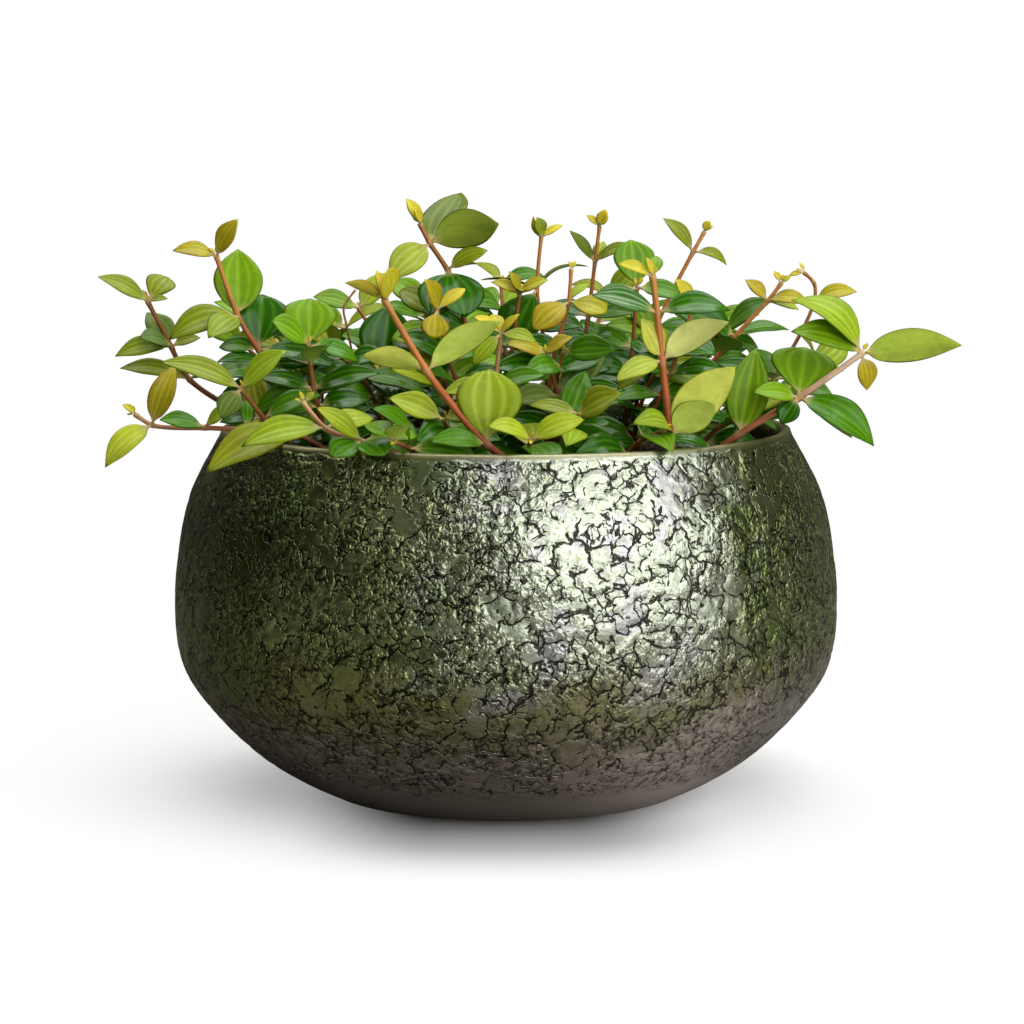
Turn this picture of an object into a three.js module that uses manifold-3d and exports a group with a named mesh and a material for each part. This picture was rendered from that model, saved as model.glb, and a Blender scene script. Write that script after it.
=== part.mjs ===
// A beetle peperomia in its planter bowl: a round-bellied stoneware bowl filled with potting mix, and a
// mat of red four-edged stems that carry opposite pairs of small pointed leaves.
// Millimetres, +Z up, origin at the middle of the bowl's foot, with the side that faces -Y as the front.
// Each leafy stem is one solid: its leaves are fused to the stem that they grow from. Leaves of different
// stems never touch, because each leaf is bent until it lies clear of all that is already in place.
import * as THREE from "three";
import { mergeVertices } from "three/addons/utils/BufferGeometryUtils.js";
import Module from "manifold-3d";

const wasm = await Module();
wasm.setup();

// Driving dimensions
const BOWL_HEIGHT = 164;
const BELLY_RADIUS = 150;
const RIM_RADIUS = 129;
const FOOT_RADIUS = 82;
const WALL = 6;
const FLOOR = 9;
const FLOOR_CORNER = 12;
const BOWL_SIDES = 32;

const MIX_EDGE = 147;
const MIX_CROWN = 150;
const ROOT_HEIGHT = 151;
const SEAT_GAP = 0.35;

const CORNER = 0.62;
const STUB = 0.7;
const HOLE_SLACK = 0.9;
const BURIED = 20;
const BLADE_THICK = 0.8;
const BLADE_CLEAR = 0.35;
const KEEL = 0.22;
const ARCH = 0.12;

// Solids
function solidOf(geometry) {
  const bare = geometry.index ? geometry.toNonIndexed() : geometry.clone();
  bare.deleteAttribute("normal");
  bare.deleteAttribute("uv");
  const merged = mergeVertices(bare, 1e-4);
  return new wasm.Manifold(
    new wasm.Mesh({
      numProp: 3,
      vertProperties: merged.attributes.position.array,
      triVerts: new Uint32Array(merged.index.array),
    }),
  );
}

function meshOf(name, solid, material) {
  const made = solid.getMesh();
  const corners = new Float32Array(made.numVert * 3);
  for (let i = 0; i < made.numVert; i++) {
    const at = i * made.numProp;
    corners.set(made.vertProperties.subarray(at, at + 3), i * 3);
  }
  const geometry = new THREE.BufferGeometry();
  geometry.setAttribute("position", new THREE.BufferAttribute(corners, 3));
  geometry.setIndex(new THREE.BufferAttribute(made.triVerts, 1));
  geometry.computeVertexNormals();
  const mesh = new THREE.Mesh(geometry, material);
  mesh.name = name;
  return mesh;
}

function turned(profile) {
  const points = profile.map(([r, z]) => new THREE.Vector2(r, z));
  return solidOf(new THREE.LatheGeometry(points, BOWL_SIDES).rotateX(Math.PI / 2));
}

// Bowl and potting mix
// The outside runs from the foot, out under the belly, and in again to the rim.
const OUTSIDE = [
  [FOOT_RADIUS, 0],
  [98, 8],
  [116, 20],
  [133, 37],
  [146, 56],
  [BELLY_RADIUS, 78],
  [148.8, 104],
  [142.8, 134],
  [RIM_RADIUS, BOWL_HEIGHT - 3],
];
const outside = new THREE.SplineCurve(OUTSIDE.map(([r, z]) => new THREE.Vector2(r, z)));

// The rounded lip, from the outside in.
const LIP = [
  [RIM_RADIUS - 1.2, BOWL_HEIGHT - 0.7],
  [RIM_RADIUS - 3, BOWL_HEIGHT],
];
const LIP_INSIDE = [RIM_RADIUS - 5.4, BOWL_HEIGHT - 1.2];

// The cavity, from the lip down, one wall in from the outside.
function cavity() {
  const rows = [LIP_INSIDE];
  for (let i = OUTSIDE.length - 2; i >= 0; i--) {
    const t = i / (OUTSIDE.length - 1);
    const at = outside.getPoint(t);
    const along = outside.getTangent(t);
    const row = [at.x - along.y * WALL, at.y + along.x * WALL];
    if (row[1] > FLOOR + FLOOR_CORNER / 4) rows.push(row);
  }
  const [lowest] = rows[rows.length - 1];
  return [...rows, [lowest - FLOOR_CORNER, FLOOR]];
}

function bowl() {
  return turned([[0, 0], ...OUTSIDE, ...LIP, ...cavity(), [0, FLOOR]]);
}

// The mix fills the cavity up to below the rim, and its top is slightly heaped.
function pottingMix() {
  const rows = cavity();
  const high = rows.filter(([, z]) => z >= MIX_EDGE).pop();
  const under = rows.filter(([, z]) => z < MIX_EDGE).filter((_, i) => i % 2 === 0);
  const share = (MIX_EDGE - under[0][1]) / (high[1] - under[0][1]);
  const edge = under[0][0] + share * (high[0] - under[0][0]) - SEAT_GAP;
  const wall = under.map(([r, z]) => [r - SEAT_GAP, z]).reverse();
  wall[0][1] += SEAT_GAP;
  return turned([[0, FLOOR + SEAT_GAP], ...wall, [edge, MIX_EDGE], [0, MIX_CROWN]]);
}

// Leaves
// A leaf is [across, back, up, width, arch, roll]: how far its tip lies from its joint, its width as a
// share of its length, how far its middle bows out as a share of its length, and its turn in degrees
// about its own line, 0 being upper face as far up as it goes. Without a turn it faces the light.
// Its outline is given by half widths at shares of its length, and its midrib by shares alone.
const LARGE = { edge: [[0.26, 0.38], [0.55, 0.5], [0.82, 0.31]], rib: [0.42, 0.74] };
const SMALL = { edge: [[0.3, 0.42], [0.7, 0.4]], rib: [0.5] };
const BUD = { edge: [[0.5, 0.46]], rib: [] };
const LARGE_FROM = 34;
const SMALL_FROM = 12;

// Ways to bend a leaf: lift and swing in degrees, roll in degrees, and share of its length.
const BENDS = [
  [0, 0, 0, 1],
  [8, 0, 0, 1],
  [-8, 0, 0, 1],
  [0, 10, 0, 1],
  [0, -10, 0, 1],
  [0, 0, 25, 1],
  [0, 0, -25, 1],
  [14, 12, 0, 1],
  [14, -12, 0, 1],
  [-14, 12, 0, 0.95],
  [-14, -12, 0, 0.95],
  [24, 0, 0, 0.95],
  [-22, 0, 0, 0.9],
  [0, 26, 15, 0.9],
  [0, -26, -15, 0.9],
  [30, 24, 0, 0.9],
  [30, -24, 0, 0.9],
  [42, 0, 0, 0.85],
  [10, 45, 0, 0.8],
  [10, -45, 0, 0.8],
  [58, 20, 0, 0.75],
  [58, -20, 0, 0.75],
];

const UP = new THREE.Vector3(0, 0, 1);
const LIGHT = new THREE.Vector3(0.15, -0.85, 1);
const radians = THREE.MathUtils.degToRad;

// The roll that turns a leaf's upper face from straight up to the light.
function rollTo(line, light) {
  const along = line.clone().normalize();
  const level = UP.clone().addScaledVector(along, -along.z).normalize();
  const lit = light.clone().addScaledVector(along, -light.dot(along)).normalize();
  const turn = Math.atan2(along.dot(new THREE.Vector3().crossVectors(level, lit)), level.dot(lit));
  return THREE.MathUtils.radToDeg(turn);
}

// The leaf's line, its upper face's direction and its side, once bent.
function leafFrame(leaf, bend) {
  const [across, back, up, width, arch = ARCH, turn] = leaf;
  const [lift, swing, extraRoll, share] = bend;
  const line = new THREE.Vector3(across, back, up);
  const roll = turn ?? rollTo(line, LIGHT);
  const length = line.length() * share;
  line.normalize();
  const face = UP.clone().addScaledVector(line, -UP.dot(line));
  if (face.lengthSq() < 1e-3) face.set(0, -1, 0).addScaledVector(line, line.y);
  face.normalize();
  const side = new THREE.Vector3().crossVectors(line, face);
  line.applyAxisAngle(side, radians(lift));
  face.applyAxisAngle(side, radians(lift));
  line.applyAxisAngle(UP, radians(swing));
  face.applyAxisAngle(UP, radians(swing));
  face.applyAxisAngle(line, radians(roll + extraRoll));
  side.crossVectors(line, face);
  return { line, face, side, length, width: width * length, arch };
}

// A thin keeled blade from `from` (a share of its length) to its pointed tip. Both faces are split into
// the same triangles, and `spare` widens and lengthens it for the test of what it would touch.
function blade(base, frame, thick, spare, from) {
  const { line, face, side, length, width, arch } = frame;
  const kind = length >= LARGE_FROM ? LARGE : length >= SMALL_FROM ? SMALL : BUD;
  const along = (t) =>
    base
      .clone()
      .addScaledVector(line, t * length)
      .addScaledVector(face, 4 * arch * length * t * (1 - t));
  const beside = ([t, share], sign) => {
    const half = share * width + spare;
    return along(t)
      .addScaledVector(side, sign * half)
      .addScaledVector(face, KEEL * half);
  };
  const rows = kind.edge.length;
  const right = kind.edge.map((at) => beside(at, 1));
  const left = kind.edge.map((at) => beside(at, -1)).reverse();
  const tip = along(1).addScaledVector(line, 3 * spare);
  const points = [along(from), ...right, ...left, ...kind.rib.map(along)];
  const end = 2 * points.length;
  const edge = (i, sign) => (i === rows ? end : sign > 0 ? 1 + i : 2 * rows - i);
  const rib = (i) => (kind.rib.length ? 2 * rows + 1 + i : end);
  const tris = [
    [0, edge(0, 1), edge(0, -1)],
    [edge(0, -1), edge(0, 1), rib(0)],
  ];
  for (const sign of kind.rib.length ? [1, -1] : []) {
    const put = (a, b, c) => tris.push(sign > 0 ? [a, b, c] : [a, c, b]);
    for (let i = 0; i < rows; i++) {
      const last = Math.min(i, kind.rib.length - 1);
      put(edge(i, sign), edge(i + 1, sign), rib(last));
      if (last + 1 < kind.rib.length) put(edge(i + 1, sign), rib(last + 1), rib(last));
    }
  }
  const under = (i) => (i === end ? end : i + points.length);
  const corners = [];
  for (const sign of [1, -1])
    for (const p of points)
      corners.push(...p.clone().addScaledVector(face, (sign * thick) / 2).toArray());
  corners.push(...tip.toArray());
  const faces = [];
  const outline = [0, ...right.map((_, i) => edge(i, 1)), end, ...left.map((_, i) => rows + 1 + i)];
  for (const [a, b, c] of tris) faces.push(a, b, c, under(a), under(c), under(b));
  outline.forEach((a, i) => {
    const b = outline[(i + 1) % outline.length];
    faces.push(b, a, under(a), b, under(a), under(b));
  });
  const whole = [];
  for (let i = 0; i < faces.length; i += 3) {
    const tri = faces.slice(i, i + 3);
    if (new Set(tri).size === 3) whole.push(...tri);
  }
  const geometry = new THREE.BufferGeometry();
  geometry.setAttribute("position", new THREE.Float32BufferAttribute(corners, 3));
  geometry.setIndex(whole);
  return solidOf(geometry);
}

// Stems
// A stem is square in section and runs through its joints, with its foot buried in the potting mix.
class JointPath extends THREE.CatmullRomCurve3 {
  // Even steps from point to point, so that each joint has a ring of its own.
  getPointAt(t) {
    return this.getPoint(t);
  }
  getTangentAt(t) {
    return this.getTangent(t);
  }
}

function squareOf(reach) {
  const section = new THREE.Shape();
  section.moveTo(reach, 0);
  for (const turn of [90, 180, 270])
    section.lineTo(reach * Math.cos(radians(turn)), reach * Math.sin(radians(turn)));
  return section;
}

function stemSolid(joints, thickness, buried = BURIED) {
  const [x, y, z] = joints[0];
  const points = [[x, y, z - buried], ...joints].map(([a, b, c]) => new THREE.Vector3(a, b, c));
  const [below, top] = points.slice(-2);
  const stub = top.clone().sub(below).setLength(STUB * thickness);
  top.add(stub);
  const path = new JointPath(points, false, "centripetal");
  const section = squareOf(CORNER * thickness);
  const settings = { steps: points.length - 1, extrudePath: path, bevelEnabled: false };
  return solidOf(new THREE.ExtrudeGeometry(section, settings));
}

// The stems that show from the front
// Each row of a shoot is one joint: its place, then the leaves that grow there.
// The first joint is where the stem leaves the potting mix, and the last carries the youngest leaves.
const PLACED = [
  ["long_front_stem", 3.8, [
    [[8, -102, 151]],
    [[-8, -106, 166], [1, 10, 31, 0.86, 0.1], [-24, -10, 2, 0.46]],
    [[-33, -107, 197], [-27, -8, 7, 0.42, 0.1, 50], [31, -6, 21, 0.4, 0.08, -50]],
    [[-50, -106, 226], [-17, -3, 8, 0.36, 0.16, 50], [1, -11, 14, 0.85, 0.05], [-4, 3, 13, 0.36]],
  ]],
  ["right_front_stem", 3.8, [
    [[72, -88, 151]],
    [[70, -90, 168], [-25, -9, -7, 0.56, 0.24], [27, -5, 30, 0.52, 0.06, -62],
      [18, -12, 15, 0.62, 0.08, -50]],
    [[66, -91, 200], [-20, -9, -8, 0.46, 0.12], [28, -6, 17, 0.48, 0.12, -50], [-9, 2, 18, 0.62],
      [-19, 4, -13, 0.4]],
    [[64, -91, 220], [-28, -5, 8, 0.46, 0.1], [31, 3, 1, 0.46, 0.16]],
    [[62, -91, 235], [-15, -3, 6, 0.46, 0.14], [2, 9, 9, 0.5], [-3, -2, 9, 0.4]],
  ]],
  ["reaching_right_stem", 3.6, [
    [[86, -56, 151]],
    [[101, -62, 166], [7, 4, 37, 0.5, 0.05]],
    [[126, -66, 182], [4, 15, 21, 1.1, 0.04], [-20, -6, 3, 0.55, 0.1], [32, -9, -20, 0.48, 0.15],
      [-9, -8, -9, 0.7], [24, 6, -18, 0.42, 0.12]],
    [[153, -64, 201], [43, -4, 4, 0.42, 0.05, -58], [-31, -6, 10, 0.5, 0.14],
      [-33, 8, 18, 0.55, 0.22, -25], [3, 3, -16, 0.62]],
  ]],
  ["far_left_low_stem", 2.8, [
    [[-70, -58, 151]],
    [[-92, -70, 167.5], [-33, -24, -21, 0.42, 0.15], [10, 18, 6, 0.5]],
    [[-112, -72, 169], [9, 10, 13, 0.5]],
    [[-130, -63, 169], [-19, -7, 4, 0.5, 0.1], [14, -5, 9, 0.5]],
    [[-154, -52, 169], [-20, -6, -18, 0.46, 0.18], [10, 5, 26, 0.4, 0.2, 60]],
    [[-161, -49, 173], [-6, -2, 5, 0.5]],
  ]],
  ["far_left_stem", 3, [
    [[-98, 8, 151]],
    [[-124, 6, 171]],
    [[-143, 6, 184], [-32, 2, 5, 0.34, 0.12], [17, -7, 6, 0.5]],
    [[-151, 5, 199], [-25, -5, -4, 0.46, 0.14], [-13, -13, 5, 0.66], [-12, 10, 15, 0.6],
      [13, 3, 4, 0.5]],
    [[-161, 4, 219], [-22, -6, 12, 0.42, 0.1], [8, 10, 11, 0.85], [-6, 7, 9, 0.5], [10, -3, 2, 0.4]],
  ]],
  ["tall_left_stem", 3, [
    [[-80, -24, 151]],
    [[-92, -27, 172], [-24, 8, 5, 0.5], [12, -20, 6, 0.5]],
    [[-109, -29, 200], [1, 13, 24, 0.9, 0.06], [-18, 4, 1, 0.6], [35, -4, -2, 0.42, 0.1]],
    [[-118, -30, 215], [-1, 16, 29, 0.66, 0.04], [-30, -8, -10, 0.5, 0.18],
      [-14, -18, -14, 0.5, 0.1]],
    [[-127, -30, 241], [-19, -5, 3, 0.5, 0.14], [10, -4, 17, 0.5, 0.1]],
  ]],
  ["left_front_stem", 2.8, [
    [[-90, -46, 151]],
    [[-104, -66, 173], [25, -7, 11, 0.46, 0.12], [-20, 6, -2, 0.5]],
    [[-113, -78, 187], [-34, -7, 12, 0.36, 0.12], [20, -6, 17, 0.5, 0.08], [-8, -7, -12, 0.7]],
  ]],
  ["left_inner_stem", 2.8, [
    [[-76, -48, 151]],
    [[-83, -60, 185], [-28, -9, -11, 0.46, 0.12], [-25, 4, 5, 0.42], [28, -7, 12, 0.42, 0.1],
      [7, 20, 3, 0.5]],
    [[-85, -62, 204], [0, 14, 20, 0.95, 0.04], [-15, -10, 12, 0.74, 0.08], [22, 4, -4, 0.5, 0.16]],
  ]],
  ["rim_stem", 3, [
    [[-34, -98, 151]],
    [[-47, -103, 162], [20, -5, 3, 0.46]],
    [[-60, -104, 167], [10, -17, -4, 0.85, 0.1], [-19, -7, 15, 0.46, 0.06],
      [-11, -16, -1, 0.75, 0.1], [24, 6, 5, 0.42]],
    [[-76, -98, 172], [-35, -8, -7, 0.42, 0.14], [20, 14, 3, 0.5, 0.1]],
    [[-85, -94, 182], [4, 3, 5, 0.5]],
  ]],
  ["tall_middle_stem", 3, [
    [[-6, -8, 151]],
    [[-17, -6, 205], [6, -18, -20, 0.75, 0.14], [-22, 6, 6, 0.5]],
    [[-26, -5, 234], [8, -16, -20, 0.85, 0.12], [-13, -11, -17, 0.8, 0.12], [18, 1, 9, 0.5]],
    [[-34, -5, 246], [31, -8, 9, 0.62, 0.1, -60], [-18, -7, -16, 0.66, 0.08],
      [18, 22, 22, 0.6, 0.04, 0]],
    [[-38, -5, 254], [-3, -4, 8, 0.6], [-5, 2, 13, 0.45]],
  ]],
  ["bronze_tipped_stem", 2.6, [
    [[-12, -44, 151]],
    [[-24, -50, 196], [-26, -6, 6, 0.66], [14, 16, 6, 0.5]],
    [[-30, -53, 219], [-5, -8, 14, 0.66], [-1, -9, -12, 0.85, 0.1], [12, 4, 13, 0.36]],
  ]],
  ["yellow_star_stem", 2.6, [
    [[-8, -66, 151]],
    [[-5, -71, 186], [-22, -8, -1, 0.5], [22, -9, 7, 0.5], [4, 20, 4, 0.5]],
    [[-2, -73, 210], [-12, -4, -13, 0.5], [15, -8, -3, 0.5], [-4, 11, 8, 0.5], [8, -3, 9, 0.36],
      [-13, 1, 6, 0.46]],
  ]],
  ["middle_stem", 2.8, [
    [[27, -58, 151]],
    [[23, -55, 182], [18, 4, 29, 0.42, 0.06], [-20, -8, -2, 0.66, 0.1], [4, -18, -11, 0.6],
      [30, -3, 3, 0.38]],
    [[17, -55, 200], [-17, -8, 5, 0.6, 0.12], [12, -6, 8, 0.6, 0.1]],
  ]],
  ["upright_stem", 2.4, [
    [[20, 16, 151]],
    [[18, 22, 196], [24, 6, 4, 0.5], [-22, 8, 2, 0.5]],
    [[14, 24, 224], [-26, 3, 4, 0.34, 0.08, 5], [24, 4, 10, 0.36, 0.18, 0],
      [-11, -8, -22, 0.85, 0.1]],
    [[16, 25, 247], [-2, -3, 10, 0.66], [9, -2, 12, 0.42], [10, 3, 6, 0.36]],
  ]],
  ["amber_stem", 2.4, [
    [[17, -16, 151]],
    [[22, -13, 199], [18, -14, 1, 0.5], [-20, -10, 3, 0.5]],
    [[28, -11, 220], [-16, -9, -12, 0.66, 0.1], [17, -8, -4, 0.78, 0.1], [9, 5, 8, 0.5]],
    [[29, -10, 234], [2, 2, 4, 0.5]],
  ]],
  ["upright_back_stem", 2.4, [
    [[30, 40, 151]],
    [[38, 44, 210], [22, -8, 2, 0.5], [-20, 12, 4, 0.5]],
    [[41, 45, 235], [-12, -2, 15, 0.36, 0.06], [20, -3, 7, 0.36, 0.2], [2, 6, 12, 0.5]],
    [[43, 45, 251], [-6, 0, 6, 0.5], [3, -2, 9, 0.6]],
  ]],
  ["right_back_stem", 2.6, [
    [[58, 46, 151]],
    [[68, 57, 200], [24, 4, 4, 0.5], [-22, -8, 6, 0.5], [-18, 6, 20, 0.5]],
    [[87, 60, 239], [-14, 2, 16, 0.4, 0.14], [16, 2, -6, 0.42, 0.24]],
    [[92, 61, 248], [3, -1, 6, 0.66]],
  ]],
  ["right_bronze_stem", 2.6, [
    [[74, -4, 151]],
    [[90, 6, 188], [26, -4, -2, 0.46, 0.12], [-16, -14, 5, 0.5], [22, 12, 4, 0.5]],
    [[118, 10, 219], [-10, 2, 10, 0.56], [19, -4, -1, 0.5, 0.2], [15, 6, -4, 0.46]],
    [[124, 10, 227], [-3, 1, 6, 0.5], [5, 0, 4, 0.5]],
  ]],
  ["curled_right_stem", 2.2, [
    [[94, -30, 151]],
    [[118, -24, 186], [32, 4, 4, 0.45, 0.16], [-26, 0, 8, 0.42, 0.1], [4, -18, 3, 0.6]],
    [[137, -14, 220], [19, -2, 5, 0.5, 0.18]],
    [[137, -12, 229]],
    [[133, -12, 233], [-7, 0, -1, 0.5]],
  ]],
  ["small_yellow_stem", 2.4, [
    [[56, -36, 151]],
    [[72, -38, 190], [22, -12, 3, 0.5], [-16, 14, 7, 0.5], [-20, -10, 5, 0.5]],
    [[82, -36, 219], [-8, -2, 13, 0.55, 0.1], [2, 2, 9, 0.5]],
  ]],
  ["shaded_left_stem", 2.6, [
    [[-54, -8, 151]],
    [[-54, -12, 168], [30, 2, 6, 0.5, 0.1], [-28, -10, 2, 0.5, 0.1]],
    [[-56, -14, 188], [4, 10, 30, 0.75, 0.05], [-30, -6, 3, 0.5, 0.1], [7, -22, -10, 0.6, 0.1]],
  ]],
  ["broad_back_stem", 2.6, [
    [[54, 24, 151]],
    [[58, 30, 196], [24, -8, 4, 0.5, 0.1], [-22, 12, 4, 0.5, 0.1]],
    [[60, 31, 224], [-3, 7, 22, 0.85, 0.04], [-22, -10, -10, 0.5, 0.12], [24, 2, -6, 0.5, 0.12]],
  ]],
  ["bronze_cluster_stem", 2.4, [
    [[0, 10, 151]],
    [[3, 12, 198], [22, -10, 2, 0.5, 0.1], [-20, 12, 6, 0.5, 0.1]],
    [[6, 12, 222], [-13, -2, 6, 0.5, 0.15], [13, -1, 7, 0.5, 0.15], [-5, -4, 11, 0.5],
      [6, 3, 11, 0.5], [1, -11, 4, 0.5]],
  ]],
];

// The rest of the mat
// These fill the middle and the back. Each is drawn by rule from where it roots, given as degrees round
// the bowl from the right (90 is the back), distance from the middle, how tall it stands and how many
// pairs of leaves it carries.
const DRAWN = [
  ["front_mat_1", 214, 92, 20, 3],
  ["front_mat_2", 236, 98, 18, 3],
  ["front_mat_3", 252, 76, 24, 3],
  ["front_mat_4", 277, 82, 17, 3],
  ["front_mat_5", 284, 70, 26, 3],
  ["front_mat_6", 303, 92, 20, 3],
  ["front_mat_7", 338, 92, 22, 3],
  ["inner_mat_1", 200, 58, 50, 3],
  ["inner_mat_2", 246, 44, 50, 3],
  ["inner_mat_3", 300, 44, 50, 3],
  ["inner_mat_4", 340, 60, 50, 3],
  ["inner_mat_5", 190, 20, 62, 4],
  ["side_mat_1", 2, 104, 38, 3],
  ["side_mat_2", 18, 80, 52, 4],
  ["side_mat_3", 182, 78, 48, 3],
  ["back_mat_1", 36, 98, 50, 4],
  ["back_mat_2", 62, 76, 66, 4],
  ["back_mat_3", 66, 106, 50, 4],
  ["back_mat_4", 88, 60, 72, 4],
  ["back_mat_5", 92, 98, 58, 4],
  ["back_mat_6", 116, 84, 60, 4],
  ["back_mat_7", 122, 108, 48, 4],
  ["back_mat_8", 142, 66, 62, 4],
  ["back_mat_9", 148, 100, 50, 4],
  ["back_mat_10", 170, 96, 48, 3],
];
// How a drawn stem and its leaves vary: a pair is a range, the rest are fixed. Angles are in degrees,
// and pitch, outward and youngLift are shares of the leaf's length.
const MAT = {
  thickness: 2.4,
  tries: 10,
  shift: [-5, 5],
  lean: [4, 14],
  leanByDistance: 0.2,
  drift: [-9, 9],
  easing: 0.3,
  sunOut: 0.3,
  firstTurn: [20, 160],
  nextTurn: [72, 108],
  grown: [29, 33.9],
  young: [19, 25],
  pitch: [-0.25, 0.35],
  outward: 0.3,
  youngLift: 0.4,
  width: [0.42, 0.6],
  arch: [0.08, 0.2],
  roll: [-20, 20],
};

// Whole-number draws that give the same numbers everywhere.
function dice(seed) {
  let state = seed * 7919 + 17;
  const next = () => {
    state = (state * 16807) % 2147483647;
    return state / 2147483647;
  };
  for (let i = 0; i < 4; i++) next();
  return ([low, high]) => low + (high - low) * next();
}

function drawnShoot([name, degrees, distance, height, pairs], number, attempt) {
  const draw = dice(100 * (number + 1) + attempt);
  const around = radians(degrees + draw(MAT.shift) * attempt);
  const out = new THREE.Vector3(Math.cos(around), Math.sin(around), 0);
  const aside = new THREE.Vector3(-out.y, out.x, 0);
  const sun = LIGHT.clone().addScaledVector(out, MAT.sunOut);
  const root = out.clone().multiplyScalar(distance).setZ(ROOT_HEIGHT);
  const lean = MAT.leanByDistance * distance + draw(MAT.lean);
  const drift = draw(MAT.drift);
  const joints = [[root.toArray()]];
  let turn = draw(MAT.firstTurn);
  for (let i = 1; i <= pairs; i++) {
    const t = i / pairs;
    const at = root
      .clone()
      .addScaledVector(out, lean * t * t)
      .addScaledVector(aside, drift * t)
      .addScaledVector(UP, height * t * (1 + MAT.easing * (1 - t)));
    const row = [at.toArray()];
    const length = draw(i < pairs ? MAT.grown : MAT.young);
    for (const half of [0, 180]) {
      const way = around + radians(turn + half);
      const line = new THREE.Vector3(Math.cos(way), Math.sin(way), draw(MAT.pitch))
        .addScaledVector(out, MAT.outward)
        .setLength(length);
      if (i === pairs) line.z += MAT.youngLift * length;
      const roll = rollTo(line, sun) + draw(MAT.roll);
      row.push([...line.toArray(), draw(MAT.width), draw(MAT.arch), roll]);
    }
    turn += draw(MAT.nextTurn);
    joints.push(row);
  }
  return { name, thickness: MAT.thickness, joints };
}

// Put together, each piece clear of the rest
const placed = [];

function boxOf(solid) {
  const { min, max } = solid.boundingBox();
  return new THREE.Box3(new THREE.Vector3(...min), new THREE.Vector3(...max));
}

function keep(owner, kind, solid) {
  placed.push({ owner, kind, solid, box: boxOf(solid) });
}

// The first piece in place that a solid meets, apart from those to skip.
function firstMet(solid, skip = () => false) {
  const box = boxOf(solid);
  return placed.find((other) => {
    if (skip(other) || !box.intersectsBox(other.box)) return false;
    const common = solid.intersect(other.solid);
    const empty = common.isEmpty();
    common.delete();
    return !empty;
  });
}

const bowlSolid = bowl();
let mixSolid = pottingMix();
keep("bowl", "vessel", bowlSolid);

// Stems first.
const shoots = [];
const fatStem = (joints, thickness) =>
  stemSolid(joints.map(([at]) => at), thickness + 2 * BLADE_CLEAR);

function settle(shoot) {
  shoot.stem = stemSolid(shoot.joints.map(([at]) => at), shoot.thickness);
  keep(shoot.name, "stem", shoot.stem);
  shoots.push(shoot);
}

for (const [name, thickness, joints] of PLACED) {
  const met = firstMet(fatStem(joints, thickness));
  if (met) throw new Error(`${name} crosses ${met.owner}`);
  settle({ name, thickness, joints });
}
DRAWN.forEach((row, number) => {
  for (let attempt = 0; attempt < MAT.tries; attempt++) {
    const shoot = drawnShoot(row, number, attempt);
    if (firstMet(fatStem(shoot.joints, shoot.thickness))) continue;
    settle(shoot);
    return;
  }
});

for (const shoot of shoots) {
  const joints = shoot.joints.map(([at]) => at);
  mixSolid = mixSolid.subtract(stemSolid(joints, shoot.thickness + HOLE_SLACK, BURIED + SEAT_GAP));
}
keep("mix", "vessel", mixSolid);

// Then the leaves, the placed stems' own before the drawn ones', from the top joint down. A leaf that
// finds no room is left out. Near its joint, up to a share BARE of its length, it may cross its own
// neighbours, and it starts under the stem's skin.
const BARE = 0.3;
const UNDER_SKIN = 0.25;

function growLeaf(shoot, at, leaf) {
  const base = new THREE.Vector3(...at);
  for (const bend of BENDS) {
    const frame = leafFrame(leaf, bend);
    const fat = BLADE_THICK + 2 * BLADE_CLEAR;
    const whole = blade(base, frame, fat, BLADE_CLEAR, 0);
    const outer = blade(base, frame, fat, BLADE_CLEAR, BARE);
    const met =
      firstMet(whole, (other) => other.owner === shoot.name) ||
      firstMet(outer, (other) => other.owner !== shoot.name || other.kind === "stem");
    whole.delete();
    outer.delete();
    if (met) continue;
    const sunk = (UNDER_SKIN * shoot.thickness) / frame.length;
    const solid = blade(base, frame, BLADE_THICK, 0, sunk);
    keep(shoot.name, "leaf", solid);
    shoot.leaves.push(solid);
    return;
  }
}

for (const shoot of shoots) {
  shoot.leaves = [];
  for (const [at, ...leaves] of [...shoot.joints].reverse())
    for (const leaf of leaves) growLeaf(shoot, at, leaf);
}

// Materials and the group
const glaze = new THREE.MeshStandardMaterial({ color: 0x2c3320, roughness: 0.38, metalness: 0.75 });
const earth = new THREE.MeshStandardMaterial({ color: 0x2a1c12, roughness: 0.95, metalness: 0 });
const green = new THREE.MeshStandardMaterial({ color: 0x4f8a1c, roughness: 0.42, metalness: 0 });

const group = new THREE.Group();
group.add(meshOf("planter_bowl", bowlSolid, glaze));
group.add(meshOf("potting_mix", mixSolid, earth));
for (const shoot of shoots) {
  const whole = wasm.Manifold.union([shoot.stem, ...shoot.leaves]);
  group.add(meshOf(shoot.name, whole, green));
}

export default group;
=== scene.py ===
# A beetle peperomia in its planter bowl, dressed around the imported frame: a round bowl with a cracked
# metallic glaze, dark potting mix, and a mat of striped leaves on red four-edged stems.
# Blender units are metres. The object's own sizes are written in millimetres and multiplied by MM.
import random
from functools import partialmethod
from math import atan2, cos, degrees, log, pi, radians, sin, tau

import bpy
import numpy as np
from mathutils import Matrix, Vector
from mathutils.kdtree import KDTree


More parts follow.
